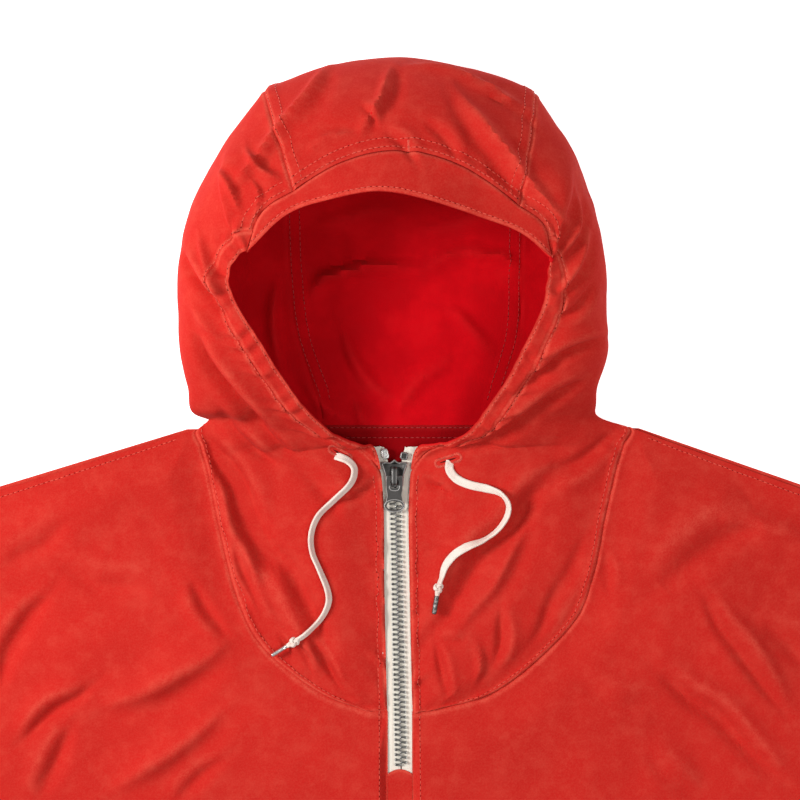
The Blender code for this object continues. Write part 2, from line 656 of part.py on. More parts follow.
def build_pull(collection):
    """A flat tab with an eye round the bridge and an oval window, its bar on the joint's axis."""
    curve = bpy.data.curves.new("zip_pull", "CURVE")
    curve.dimensions = "2D"
    curve.fill_mode = "BOTH"
    curve.extrude = PULL_PLATE / 2 * MM
    ring = oval(*PULL_RING, math.radians(40), math.radians(-220), 17)
    shape = list(PULL_HALF_OUTLINE) + ring + [(-x, y) for x, y in PULL_HALF_OUTLINE[::-1]]
    window = oval(PULL_RING[0], *PULL_WINDOW, 0, 2 * math.pi, 17)[:-1]
    half, start, end = PULL_EYE
    eye = [(-half, start), (half, start), (half, end), (-half, end)]
    for outline in (shape, window, eye):
        spline = curve.splines.new("POLY")
        spline.points.add(len(outline) - 1)
        for point, (x, y) in zip(spline.points, outline):
            point.co = (x * MM, y * MM, 0, 1)
        spline.use_cyclic_u = True
    pull = add_object("zip_pull", curve, collection, "aged_nickel", location=PULL_AXIS)
    pull.rotation_euler = (PULL_TILT, 0, 0)


def surface_height(grids, normals):
    """A function that gives the top of the cloth at a place."""
    points, faces = [], []
    for name, grid in grids.items():
        wall = CHANNEL_WALL if name.startswith("cord_channel") else CLOTH
        rows, columns = grid.shape[:2]
        start = len(points)
        points += [Vector(p) for p in (grid + normals[name] * wall / 2).reshape(-1, 3)]
        for i in range(rows - 1):
            for j in range(columns - 1):
                a = start + i * columns + j
                faces.append((a, a + columns, a + columns + 1, a + 1))
    tree = BVHTree.FromPolygons(points, faces)

    def height(x, y):
        hit = tree.ray_cast(Vector((x, y, 300)), Vector((0, 0, -1)))[0]
        return hit.z if hit else CLOTH

    def highest(x, y, reach):
        ring = [(x, y)] + [(x + reach * math.cos(t), y + reach * math.sin(t))
                           for t in np.linspace(0, 2 * math.pi, 8, endpoint=False)]
        return max(height(*place) for place in ring)

    return highest


def build_drawcord(side, route, height, collection):
    """A cord that lies on the yoke, its knot, and its metal tip. The last two points are those."""
    word = "left" if side < 0 else "right"
    path = smooth_rows(route[:-1], 4)
    flat = np.column_stack([path, np.zeros(len(path))])
    path = spaced(flat, np.linspace(0, 1, CORD_POINTS))
    knot_at = path[-1].copy()
    tip = np.array([*route[-1], 0.0])
    heading = (tip - knot_at) / np.linalg.norm(tip - knot_at)
    incoming = (path[-1] - path[-4]) / np.linalg.norm(path[-1] - path[-4])
    keep = np.linalg.norm(path - knot_at, axis=1) > KNOT[0] + CORD_CLEAR
    path = path[keep]
    for point in path:
        point[2] = height(point[0], point[1], CORD_RADIUS) + CORD_RADIUS + CORD_CLEAR
    for _ in range(CORD_EASING):
        path[1:-1, 2] = np.maximum(path[1:-1, 2], (path[:-2, 2] + path[2:, 2]) / 2)
    curve = bpy.data.curves.new("drawcord_" + word, "CURVE")
    curve.dimensions = "3D"
    curve.bevel_depth = CORD_RADIUS * MM
    curve.bevel_resolution = 2
    curve.use_fill_caps = True
    spline = curve.splines.new("POLY")
    spline.points.add(len(path) - 1)
    for point, place in zip(spline.points, path):
        point.co = (*(place * MM), 1)
    add_object("drawcord_" + word, curve, collection, "cord_cotton")

    mesh = bpy.data.meshes.new("cord_knot_" + word)
    work = bmesh.new()
    bmesh.ops.create_uvsphere(work, u_segments=12, v_segments=8, radius=1)
    bmesh.ops.scale(work, vec=Vector(KNOT) * MM, verts=work.verts)
    work.to_mesh(mesh)
    work.free()
    mesh.shade_smooth()
    knot_z = height(knot_at[0], knot_at[1], KNOT[0]) + KNOT[2] + CORD_CLEAR
    knot = add_object("cord_knot_" + word, mesh, collection, "cord_cotton",
                      location=(knot_at[0], knot_at[1], knot_z))
    knot.rotation_euler = (0, 0, math.atan2(incoming[1], incoming[0]))

    reach = KNOT[0] + CORD_CLEAR + AGLET_LENGTH / 2
    middle = knot_at + heading * reach
    mesh = bpy.data.meshes.new("aglet_" + word)
    work = bmesh.new()
    bmesh.ops.create_cone(work, cap_ends=True, segments=12, radius1=AGLET_RADIUS * MM,
                          radius2=AGLET_RADIUS * MM, depth=AGLET_LENGTH * MM)
    work.to_mesh(mesh)
    work.free()
    mesh.shade_smooth()
    mesh.set_sharp_from_angle(angle=math.radians(40))
    ends = [knot_at + heading * (reach + AGLET_LENGTH / 2 * end) for end in (-1, 0, 1)]
    aglet_z = max(height(p[0], p[1], AGLET_RADIUS) for p in ends) + AGLET_RADIUS + CORD_CLEAR
    aglet = add_object("aglet_" + word, mesh, collection,
                       "bright_nickel" if side < 0 else "aged_nickel",
                       location=(middle[0], middle[1], aglet_z))
    aglet.rotation_euler = (math.pi / 2, 0, math.atan2(heading[1], heading[0]) + math.pi / 2)


def settle_origin(collection, extra):
    """Hangs every piece on one empty, which puts the footprint's middle at the origin."""
    bpy.context.view_layer.update()
    graph = bpy.context.evaluated_depsgraph_get()
    corners = []
    for obj in collection.objects:
        if obj.name.startswith(("drawcord", "cord_knot", "aglet")):
            continue
        held = obj.evaluated_get(graph)
        corners += [held.matrix_world @ vertex.co for vertex in held.to_mesh().vertices]
        held.to_mesh_clear()
    low = [min(corner[k] for corner in corners) for k in range(3)]
    high = [max(corner[k] for corner in corners) for k in range(3)]
    carrier = bpy.data.objects.new("garment_origin", None)
    collection.objects.link(carrier)
    carrier.location = (-(low[0] + high[0]) / 2, -(low[1] + high[1]) / 2, -low[2])
    for obj in list(collection.objects) + [extra]:
        if obj is not carrier:
            obj.parent = carrier


def main():
    clear_scene()
    collection = bpy.data.collections.new(PART)
    bpy.context.scene.collection.children.link(collection)
    grids, normals = build_hood(collection)
    build_back(grids, collection)
    for side in (-1, 1):
        build_sleeve(side, collection)
    build_zip(collection)
    bridge = build_slider(collection)
    build_pull(collection)
    height = surface_height(grids, normals)
    build_drawcord(-1, CORD_LEFT, height, collection)
    build_drawcord(1, CORD_RIGHT, height, collection)
    settle_origin(collection, bridge)


main()
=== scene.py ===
"""A pullover anorak with a drawcord hood and a short neck zip, laid flat on a pale floor.

Cloth is made in the maker's frame of the part: millimetres, with the back neck's middle at the
origin, +Y towards the crown, and the surface that it lies on at Z = 0. metres() turns that into
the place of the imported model.
"""

import math

import bpy
import numpy as np
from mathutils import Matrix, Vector
from mathutils.bvhtree import BVHTree


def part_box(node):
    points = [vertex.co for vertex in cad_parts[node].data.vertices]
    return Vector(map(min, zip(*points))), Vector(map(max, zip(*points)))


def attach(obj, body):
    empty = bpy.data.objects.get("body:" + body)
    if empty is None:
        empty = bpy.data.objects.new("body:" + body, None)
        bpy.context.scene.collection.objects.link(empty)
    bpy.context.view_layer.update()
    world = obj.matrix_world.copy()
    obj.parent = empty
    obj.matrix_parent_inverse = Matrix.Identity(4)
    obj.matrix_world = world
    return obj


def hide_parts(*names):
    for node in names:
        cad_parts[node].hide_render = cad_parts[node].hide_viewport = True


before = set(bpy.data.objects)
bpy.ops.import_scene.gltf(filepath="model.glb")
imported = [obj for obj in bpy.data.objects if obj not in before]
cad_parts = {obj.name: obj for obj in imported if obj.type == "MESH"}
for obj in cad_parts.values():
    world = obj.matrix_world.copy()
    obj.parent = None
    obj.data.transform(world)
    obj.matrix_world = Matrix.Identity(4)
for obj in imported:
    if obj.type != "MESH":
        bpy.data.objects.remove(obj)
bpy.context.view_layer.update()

bl_info = {
    "name": "Anorak Pullover",
    "version": (1, 0, 0),
    "blender": (4, 5, 0),
    "location": "3D Viewport > Sidebar > Anorak",
    "description": "Builds the cloth, zip, cords and stitching of a pullover anorak laid flat",
    "category": "Object",
}

MM = 0.001
HEM_MIDDLE = -704
SHIFT_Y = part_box("body_back")[0].y / MM - HEM_MIDDLE

# Cloth, as in the part.
WALL = 1.5               # wall of the part's solids
SHELL = 0.7              # cloth as it looks
ON_BACK = 1.8            # a layer lying on the back panel
SHOULDER = (290, -52)
UNDERARM = (300, -292)
HEM_CORNER = (306, -690)
SLEEVE_LENGTH = 580
SLEEVE_DROP = math.radians(38)
CUFF_WIDTH = 122
CUFF_TURN = 0.1
SLEEVE_BOW = (7.2, 12)
SLEEVE_HEIGHT = 4.5
PLACKET_HALF = 8.2
PLACKET_LIFT = 4.5
PLACKET_END = -286
CHANNEL_WIDTH = 12.5
TAPE_REACH = (15, 12.5)
TAPE_FLARE = 6.8
TAPE_SPLIT = 0.4
TAPE = 0.9
TAPE_Z = 3.2
ZIP_TOP = -14
ZIP_END = -226
ZIP_TOP_X = -3.6
ZIP_END_X = 0.8
CHAIN_Z = 4.4
SLIDER_TOP = -22
SLIDER_END = -40
PULL_AXIS = (ZIP_TOP_X, -33.5, 9.3)
PULL_TILT = math.radians(4.7)
PULL_HALF_OUTLINE = ((3.6, 0.8), (5.2, 0.2), (5.3, -7.0), (4.7, -11.6), (5.0, -13.6))
PULL_RING = (-18.6, 6.9, 4.4)       # y of its middle, half width and half height
PULL_WINDOW = (5.1, 2.9)
PULL_EYE = (2.5, -0.9, -7.0)        # half width, and where it starts and ends
SLIDER_OUTLINE = ((0, 9.0), (2.6, 7.0), (5.4, 7.3), (8.4, 7.0), (8.5, 5.6), (6.2, -1.2), (5.6, -8.4),
                  (4.4, -9.0))
FRAME_MIDDLE_Y = 16.25

# Hood sides. Columns: seam_x, seam_y, seam_z, side_x, side_y, top_z, edge_x, edge_y, edge_z.
HOOD_LEFT = (
    (-65, 144, 92, -85, 131, 90, -94, 108, 84),
    (-76, 179, 82, -108, 150, 92, -98, 106, 84),
    (-85, 209, 50, -112, 163, 85, -101, 102, 84),
    (-82, 209, 14, -124, 154, 78, -104, 98, 84),
    (-78, 185, 2, -134, 135, 76, -105, 93, 83),
    (-74, 146, 0, -139, 107, 74, -105, 87, 82),
    (-72, 100, 0, -140, 76, 70, -100, 74, 78),
    (-67, 58, 0, -139, 47, 62, -87, 53, 70),
    (-51, 0, 0, -135, 25, 52, -73, 30, 58),
    (-90, -2, 0, -132, 9, 40, -60, 12, 44),
    (-130, -2, 3, -110, 4, 30, -41, -6, 28),
    (-129, -15, 2.6, -98, -9, 21, -25, -12, 17),
    (-125, -30, 2, -76, -21, 14, -15.4, -16.5, 8),
    (-117, -69, 2, -65, -62, 7, -10.8, -49, 4.5),
    (-106, -111, 2, -58, -101, 7, -10.2, -101, 4.5),
    (-90, -143, 2, -51, -140, 7, -9.3, -143, 4.5),
    (-55, -172, 3, -31, -169, 6, -8.6, -172, 4.5),
    (-21, -186, 4, -14, -186, 4.5, -8.2, -187, 4.5),
)
HOOD_RIGHT = (
    (73, 135, 92, 88, 124, 90, 93, 105, 84),
    (80, 172, 82, 101, 144, 92, 93, 103, 84),
    (86, 208, 50, 108, 163, 85, 92, 100, 84),
    (84, 208, 14, 116, 154, 78, 91, 96, 84),
    (82, 185, 2, 124, 132, 76, 91, 91, 83),
    (80, 146, 0, 128, 107, 74, 90, 86, 82),
    (79, 100, 0, 130, 73, 70, 87, 71, 78),
    (77, 58, 0, 131, 47, 62, 76, 48, 70),
    (64, 0, 0, 126, 25, 52, 67, 29, 58),
    (104, -1, 0, 124, 13, 42, 54, 9, 44),
    (147, -1, 3, 113, 3, 30, 41, -6, 28),
    (145, -13, 2.6, 101, -8, 21, 24, -12, 17),
    (141, -26, 2, 91, -18, 14, 9.8, -16, 8),
    (133, -61, 2, 71, -59, 7, 5.8, -49, 4.5),
    (126, -95, 2, 68, -96, 7, 6.1, -94, 4.5),
    (112, -129, 2, 62, -133, 7, 7.0, -140, 4.5),
    (65, -171, 3, 36, -169, 6, 7.7, -172, 4.5),
    (21, -185, 4, 14, -186, 4.5, 8.2, -187, 4.5),
)
SHOULDER_ROW = 10
ZIP_ROW = 12
LAST_ROW = 17

# The centre panel's middle, row for row with the hood sides: mid_y, mid_z.
CENTRE = ((168, 97), (200, 88), (229, 50), (231, 14), (207, 2), (150, 0), (100, 0), (58, 0), (0, 0))

# The visor's free edge, from its left tip to its right tip: x, y, z.
VISOR = ((-94, 107, 85), (-68, 130, 92), (-36, 139.5, 100), (-9, 142.5, 104), (22, 136, 102),
         (52, 126.5, 96), (74, 118, 91), (92, 104, 90))

# x and y of the front panel's outer edge, down the side and along the hem.
FRONT_REACH = ((290, -52), (292, -100), (294, -150), (298, -240), (300, -292), (303, -480), (306, -690),
               (190, -699), (110, -702), (60, -704), (0, -704))

# The part's largest folds. Columns: from_x, from_y, to_x, to_y, half_width, height.
FRONT_FOLDS = (
    (-187, -180, -117, -144, 13, 5.0),
    (-260, -165, -230, -114, 12, -3.0),
    (-244, -205, -203, -172, 12, -3.0),
    (-182, -237, -117, -187, 14, 4.0),
    (176, -70, 231, -108, 22, 4.0),
    (197, -114, 244, -183, 14, 3.5),
    (117, -172, 162, -185, 12, 4.0),
    (160, -219, 190, -237, 12, 3.0),
    (-120, -420, 40, -520, 24, 5.0),
    (90, -380, 210, -470, 22, 4.5),
    (-230, -560, -120, -600, 20, 4.0),
)

# Creases of the upper side, each a bent line with soft ends. A height below zero is a trough.
# Columns: from_x, from_y, by_x, by_y, to_x, to_y, half_width, height, lean.
CREASES = (
    # Left chest.
    (-262, -168, -246, -139, -226, -110, 7, -2.6, 0.7),
    (-243, -205, -223, -188, -200, -168, 6, -2.2, 0.6),
    (-190, -182, -152, -163, -114, -141, 7.5, 1.7, -0.4),
    (-232, -240, -223, -218, -212, -196, 7, -2.0, 0.5),
    (-184, -238, -149, -213, -115, -185, 7.5, 1.8, -0.4),
    (-143, -245, -129, -231, -113, -215, 6, -1.6, 0.5),
    (-137, -102, -126, -118, -112, -136, 5, -1.6, -0.6),
    (-216, -86, -190, -104, -160, -112, 9, -1.2, 0.4),
    (-252, -92, -236, -78, -214, -66, 8, -1.1, 0.4),
    # Right chest.
    (236, -66, 205, -84, 170, -108, 13, -2.8, -0.6),
    (194, -110, 220, -148, 246, -184, 6, -2.1, 0.7),
    (168, -158, 204, -190, 246, -230, 7, -2.4, 0.6),
    (115, -169, 138, -178, 166, -186, 7.5, -1.2, 0.3),
    (158, -216, 174, -227, 192, -238, 7, -1.4, 0.4),
    (132, -84, 134, -97, 136, -108, 4, -1.2, 0.4),
    (206, -60, 232, -66, 262, -74, 9, 1.3, 0.5),
    (236, -128, 252, -140, 266, -160, 8, -1.2, 0.4),
    # Left of the yoke.
    (-124, -20, -110, -57, -80, -135, 6.5, 2.4, 0.6),
    (-122, -15, -80, -82, -35, -166, 9.0, -3.0, -0.8),
    (-58, -136, -50, -152, -38, -172, 3.5, -1.6, 0.6),
    (-15, -36, -28, -45, -45, -52, 3.0, -1.6, -0.5),
    (-66, -142, -60, -150, -58, -162, 3.0, -1.4, 0.4),
    (-78, -134, -74, -142, -70, -150, 2.6, -1.3, 0.4),
    (-112, -70, -104, -96, -94, -120, 4.0, 1.6, 0.5),
    (-70, -20, -52, -42, -40, -60, 8, -1.4, 0.4),
    # Right of the yoke.
    (106, -32, 66, -72, 20, -140, 8.5, -3.2, -0.8),
    (20, -139, 31, -141, 44, -139, 4.0, -0.8, 0.4),
    (66, -120, 64, -137, 60, -156, 4.5, -1.7, 0.6),
    (22, -142, 27, -158, 32, -176, 3.6, -1.6, 0.6),
    (9, -35, 22, -39, 34, -48, 2.6, -1.8, 0.5),
    (14, -82, 26, -80, 38, -84, 3.0, -1.0, 0.4),
    (80, -60, 66, -92, 40, -132, 5, 1.3, 0.5),
    (118, -70, 102, -110, 84, -140, 6, -1.4, 0.6),
    (46, -140, 52, -152, 50, -166, 3, 1.2, 0.4),
    # Left side of the hood.
    (-136, 108, -126, 90, -103, 64, 4.2, -2.6, 0.8),
    (-129, 58, -112, 26, -68, -18, 5.5, -3.2, 0.8),
    (-124, 118, -116, 96, -108, 82, 3.6, 1.8, 0.5),
    (-132, 76, -120, 64, -110, 54, 4.0, 1.2, 0.4),
    (-118, 12, -96, -10, -76, -24, 5.0, -1.6, 0.5),
    (-126, -6, -108, -32, -92, -60, 7.0, -1.6, 0.5),
    # Right side of the hood.
    (130, 54, 100, 42, 76, 24, 4.5, -2.8, -0.8),
    (116, 30, 84, 6, 46, -14, 5.5, -3.0, -0.7),
    (109, 143, 108, 122, 97, 104, 3.4, 2.0, 0.6),
    (118, 125, 108, 100, 96, 80, 3.4, 2.0, 0.6),
    (120, 90, 110, 76, 96, 66, 4.0, -1.4, 0.5),
    (136, -4, 112, -24, 84, -34, 6.0, -1.7, 0.5),
    # Crown.
    (-46, 223, -68, 190, -104, 144, 5.0, 2.4, 0.7),
    (-3, 222, -13, 202, -24, 176, 4.5, 1.9, 0.6),
    (2, 225, 44, 216, 80, 190, 4.5, 1.8, 0.6),
    (36, 206, 62, 168, 108, 122, 5.5, 2.3, -0.7),
    (-96, 172, -88, 158, -72, 150, 3.6, 1.5, 0.5),
    (-24, 196, -18, 190, -16, 184, 2.4, -1.3, 0.4),
    (-10, 180, 2, 172, 10, 160, 4.0, -1.3, 0.5),
    (-58, 168, -44, 176, -24, 176, 3.2, 1.2, 0.4),
    (-112, 158, -104, 146, -98, 132, 3.2, 1.4, 0.4),
    (-90, 150, -86, 140, -90, 128, 2.6, 1.1, 0.4),
    (52, 206, 70, 198, 86, 182, 3.4, -1.2, 0.5),
    (14, 186, 26, 176, 34, 162, 4.2, -1.1, 0.5),
    # Lower front, past the edge of the frame.
    (-250, -300, -180, -330, -90, -352, 10, -3.0, 0.6),
    (-60, -330, -30, -380, -34, -440, 9, -2.2, 0.5),
    (60, -310, 120, -350, 220, -362, 10, -3.0, 0.6),
    (240, -420, 160, -470, 70, -480, 11, 3.2, 0.5),
    (-280, -470, -200, -500, -100, -470, 11, 2.8, 0.5),
    (20, -560, 110, -590, 240, -575, 10, -2.6, 0.6),
    (-240, -640, -140, -620, -40, -650, 9, 2.4, 0.5),
    (100, -640, 180, -660, 260, -640, 8, 2.0, 0.5),
)

# Creases of the hood's back, seen through the face opening, in the same columns.
INSIDE_CREASES = (
    (-62, 86, -32, 99, 20, 101, 6.3, 3.0, 0.7),
    (14, 100, 52, 112, 78, 104, 6.3, 2.6, 0.6),
    (-66, 104, -40, 98, -12, 112, 5.6, 2.0, 0.6),
    (-80, 92, -82, 66, -78, 34, 6.0, 2.5, 0.5),
    (-40, 62, -24, 30, 4, 14, 7.4, 2.1, -0.6),
    (0, 6, 12, 26, 34, 48, 7.4, 2.0, 0.6),
    (-34, 20, -26, 6, -18, -2, 6.0, 1.7, 0.6),
    (-62, 34, -48, 14, -30, 0, 6.3, 1.8, 0.5),
    (-54, -6, -18, -10, 22, -6, 6.0, 2.3, 0.5),
    (-30, -16, 6, -20, 40, -13, 5.6, 2.1, 0.5),
    (28, 74, 46, 64, 62, 44, 7.0, 1.5, 0.5),
    (-56, 128, -30, 138, 6, 134, 8.8, 1.4, 0.4),
    (10, 122, 40, 132, 70, 128, 8.8, 1.4, 0.4),
)

# The drawcords' routes, x and y. The last two points of each are its knot and its metal tip.
CORD_LEFT = (
    (-41.6, -19.5), (-33.6, -22.8), (-29.3, -28.6), (-31.9, -37.7), (-42.3, -48.1),
    (-52.7, -58.5), (-57.2, -70.2), (-56.6, -81.9), (-52.0, -93.0), (-46.8, -106.0),
    (-46.2, -115.0), (-51.4, -125.5), (-60.5, -134.6), (-68.3, -139.8), (-85.8, -150.8),
)
CORD_RIGHT = (
    (32.5, -22.8), (31.9, -28.6), (36.4, -34.5), (44.9, -38.4), (56.6, -41.0), (65.0, -44.2),
    (69.6, -50.7), (68.9, -58.5), (63.0, -67.6), (54.0, -74.1), (43.6, -78.0), (35.1, -83.2),
    (29.3, -90.4), (26.7, -98.2), (24.7, -104.7), (21.5, -124.0),
)
# How wide each cord's tape shows from above along its length, as a share of its own width.
CORD_TURNS = {
    -1: ((0, 0.95), (0.08, 0.8), (0.2, 0.72), (0.45, 0.68), (0.6, 0.62), (0.75, 0.74), (0.9, 0.62),
         (1, 0.8)),
    1: ((0, 1.0), (0.12, 1.0), (0.27, 0.95), (0.36, 0.55), (0.45, 0.66), (0.62, 0.5), (0.74, 0.95),
        (0.86, 0.9), (0.96, 0.6), (1, 0.8)),
}


def metres(points):
    """Points of the maker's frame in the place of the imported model."""
    return (np.asarray(points, float) + [0, SHIFT_Y, 0]) * MM


# ---------------------------------------------------------------- sizes and colours


class AnorakCloth(bpy.types.PropertyGroup):
    colour: bpy.props.FloatVectorProperty(
        name="Cloth colour", description="Dyed cotton on the outside",
        subtype="COLOR", size=3, min=0, max=1, default=(0.52, 0.015, 0.011))
    inside: bpy.props.FloatVectorProperty(
        name="Inside colour", description="The unfaded inner face of the cloth",
        subtype="COLOR", size=3, min=0, max=1, default=(0.56, 0.0008, 0.0050))
    worn: bpy.props.FloatVectorProperty(
        name="Worn colour", description="Pale abrasion on seams, edges and fold crests",
        subtype="COLOR", size=3, min=0, max=1, default=(0.74, 0.115, 0.072))
    wear: bpy.props.FloatProperty(
        name="Wear", description="How strong the abrasion is", default=0.75, min=0, max=1,
        subtype="FACTOR")
    crease_depth: bpy.props.FloatProperty(
        name="Crease depth", description="Scales every hand-placed crease", default=2.3, min=0, max=4,
        subtype="FACTOR")
    gather_depth: bpy.props.FloatProperty(
        name="Gather depth", description="Height of the gathers on the drawcord channel",
        default=2.4 * MM, min=0, max=4 * MM, subtype="DISTANCE", unit="LENGTH")


class AnorakStitching(bpy.types.PropertyGroup):
    colour: bpy.props.FloatVectorProperty(
        name="Thread colour", description="Dyed cotton thread",
        subtype="COLOR", size=3, min=0, max=1, default=(0.80, 0.110, 0.070))
    spacing: bpy.props.FloatProperty(
        name="Stitch spacing", description="From one stitch to the next",
        default=3.5 * MM, min=1.5 * MM, max=6 * MM, subtype="DISTANCE", unit="LENGTH")
    length: bpy.props.FloatProperty(
        name="Stitch length", description="Thread that shows in one stitch",
        default=2.3 * MM, min=1 * MM, max=5 * MM, subtype="DISTANCE", unit="LENGTH")
    thickness: bpy.props.FloatProperty(
        name="Thread thickness", description="Width of the thread",
        default=0.55 * MM, min=0.2 * MM, max=1.2 * MM, subtype="DISTANCE", unit="LENGTH")
    inside_colour: bpy.props.FloatVectorProperty(
        name="Inside thread colour", description="Thread on the hood's inside, more deeply dyed",
        subtype="COLOR", size=3, min=0, max=1, default=(0.46, 0.030, 0.030))


class AnorakHardware(bpy.types.PropertyGroup):
    tape_colour: bpy.props.FloatVectorProperty(
        name="Zip tape colour", description="Cotton tape of the zip",
        subtype="COLOR", size=3, min=0, max=1, default=(0.86, 0.80, 0.69))
    cord_colour: bpy.props.FloatVectorProperty(
        name="Cord colour", description="Flat cotton drawcord",
        subtype="COLOR", size=3, min=0, max=1, default=(0.88, 0.80, 0.70))
    # Red dye in the cord, also used as painted shade on its side edges and in its knot.
    dye_and_painted_shade: bpy.props.FloatVectorProperty(
        name="Dye on the cord", description="Red dye caught in the cord's hollows",
        subtype="COLOR", size=3, min=0, max=1, default=(0.74, 0.46, 0.40))
    metal_colour: bpy.props.FloatVectorProperty(
        name="Aged metal colour", description="Antique nickel of the slider and pull",
        subtype="COLOR", size=3, min=0, max=1, default=(0.045, 0.042, 0.040))
    cord_width: bpy.props.FloatProperty(
        name="Cord width", description="Width of the flat drawcord",
        default=5.6 * MM, min=3 * MM, max=8 * MM, subtype="DISTANCE", unit="LENGTH")
    cord_thickness: bpy.props.FloatProperty(
        name="Cord thickness", description="Thickness of the flat drawcord",
        default=2.1 * MM, min=1 * MM, max=4 * MM, subtype="DISTANCE", unit="LENGTH")
    tooth_pitch: bpy.props.FloatProperty(
        name="Tooth pitch", description="From one tooth to the next on one side of the zip",
        default=3.25 * MM, min=2 * MM, max=5 * MM, subtype="DISTANCE", unit="LENGTH")


class AnorakStage(bpy.types.PropertyGroup):
    floor_colour: bpy.props.FloatVectorProperty(
        name="Floor colour", description="Plain pale floor",
        subtype="COLOR", size=3, min=0, max=1, default=(0.93, 0.93, 0.93))
    camera_height: bpy.props.FloatProperty(
        name="Camera height", description="Height of the camera above the floor",
        default=1.5, min=0.5, max=5, subtype="DISTANCE", unit="LENGTH")
    frame_width: bpy.props.FloatProperty(
        name="Frame width", description="Width of the floor that the camera sees",
        default=0.52, min=0.1, max=3, subtype="DISTANCE", unit="LENGTH")
    key_power: bpy.props.FloatProperty(
        name="Key light", description="Power of the large soft light from the upper left",
        default=18, min=0, max=500, subtype="POWER", unit="POWER")
    top_power: bpy.props.FloatProperty(
        name="Top light", description="Power of the soft light straight above",
        default=6.0, min=0, max=500, subtype="POWER", unit="POWER")
    key_size: bpy.props.FloatProperty(
        name="Key size", description="Width of the soft light",
        default=0.5, min=0.05, max=3, subtype="DISTANCE", unit="LENGTH")
    sky: bpy.props.FloatProperty(
        name="Sky", description="Strength of the even white surroundings",
        default=0.37, min=0, max=3, subtype="FACTOR")
    floor_glow: bpy.props.FloatProperty(
        name="Floor glow", description="Light from the floor itself, as on a light table",
        default=0.75, min=0, max=3, subtype="FACTOR")


# ---------------------------------------------------------------- noise


def hashed(x, y, z, seed):
    """A fixed number from 0 to 1 for each whole-number place."""
    n = (x * 73856093) ^ (y * 19349663) ^ (z * 83492791) ^ (seed * 40503)
    n &= 0xFFFFFFFF
    n = ((n ^ (n >> 15)) * 224682251) & 0xFFFFFFFF
    n = ((n ^ (n >> 13)) * 326648991) & 0xFFFFFFFF
    return ((n ^ (n >> 16)) & 0xFFFFFF) / 0xFFFFFF


def soft_noise(points, size, seed):
    """Smooth noise from -1 to 1 whose bumps are about this size."""
    places = np.asarray(points, float) / size
    base = np.floor(places).astype(np.int64)
    part = places - base
    part = part * part * (3 - 2 * part)
    total = 0
    for corner in range(8):
        step = np.array([corner & 1, (corner >> 1) & 1, corner >> 2])
        weight = np.prod(np.where(step == 1, part, 1 - part), axis=-1)
        place = base + step
        total = total + weight * hashed(place[..., 0], place[..., 1], place[..., 2], seed)
    return total * 2 - 1


def line_noise(along, size, seed):
    """The same along a line."""
    along = np.asarray(along, float)
    flat = np.stack([along, np.zeros_like(along), np.zeros_like(along)], axis=-1)
    return soft_noise(flat, size, seed)


def eased(value, low, high):
    """0 below low, 1 above high, and a smooth step between."""
    t = np.clip((value - low) / (high - low), 0, 1)
    return t * t * (3 - 2 * t)


def hump(value, middle, width):
    """A smooth bump, 1 at its middle."""
    return np.exp(-((value - middle) / width) ** 2)


def round_turn(count):
    """Evenly spaced angles round one full turn."""
    return np.linspace(0, 2 * math.pi, count + 1)[:-1]


def unit(vectors, least=0.0):
    """The same directions, each one long. A length below least is taken as least."""
    return vectors / np.maximum(np.linalg.norm(vectors, axis=1, keepdims=True), least)


def read_at(places, along, values):
    """Values given along a line, read at other places on it."""
    return np.column_stack([np.interp(places, along, values[:, k]) for k in range(values.shape[1])])


# ---------------------------------------------------------------- lofting


def smooth_rows(table, between):
    """Catmull-Rom rows through a table's rows, with its columns kept."""
    rows = np.array(table, float)
    ends = np.vstack([2 * rows[0] - rows[1], rows, 2 * rows[-1] - rows[-2]])
    t = np.arange(between)[:, None] / between
    made = []
    for a, b, c, d in zip(ends, ends[1:], ends[2:], ends[3:]):
        made.append(0.5 * (2 * b + (c - a) * t + (2 * a - 5 * b + 4 * c - d) * t ** 2
                           + (3 * b - a - 3 * c + d) * t ** 3))
    return np.vstack(made + [rows[-1:]])


def arc(points):
    """Distance run along a polyline, from 0 at its start."""
    steps = np.linalg.norm(np.diff(points, axis=0), axis=1)
    return np.concatenate([[0], np.cumsum(steps)])


def spaced(points, fractions):
    """Points at these shares of a polyline's length."""
    along = arc(points)
    return read_at(np.asarray(fractions, float) * along[-1], along, points)


def side_section(row, count=70):
    """One section of a hood side: it passes its side point half way."""
    seam, edge = row[0:3], row[6:9]
    swell = (8 * row[3:5] - seam[:2] - edge[:2]) / 6
    low = np.array([*swell, seam[2]])
    high = np.array([*swell, row[5]])
    t = np.linspace(0, 1, count)[:, None]
    curve = ((1 - t) ** 3 * seam + 3 * (1 - t) ** 2 * t * low + 3 * (1 - t) * t ** 2 * high
             + t ** 3 * edge)
    curve[:, 2] = np.maximum(curve[:, 2], 0) + WALL / 2
    return curve


ROWS = 13         # lofted rows for each row of a section table
ACROSS = 84       # columns of a hood side
CHANNEL_ACROSS = 13


def side_grids(table):
    """A hood side and the channel along its face edge."""
    panel, channel = [], []
    for i, row in enumerate(smooth_rows(table, ROWS)):
        curve = side_section(row)
        length = arc(curve)[-1]
        fade = (2 * ZIP_ROW + 1 - 2 * i / ROWS) / 1.5
        width = CHANNEL_WIDTH * float(np.clip(fade, 0, 1))
        split = 1 - width / length
        panel.append(spaced(curve, np.linspace(0, split, ACROSS + 1)))
        if width > 0.3:
            channel.append(spaced(curve, np.linspace(split, 1, CHANNEL_ACROSS + 1)))
    return np.array(panel), np.array(channel)


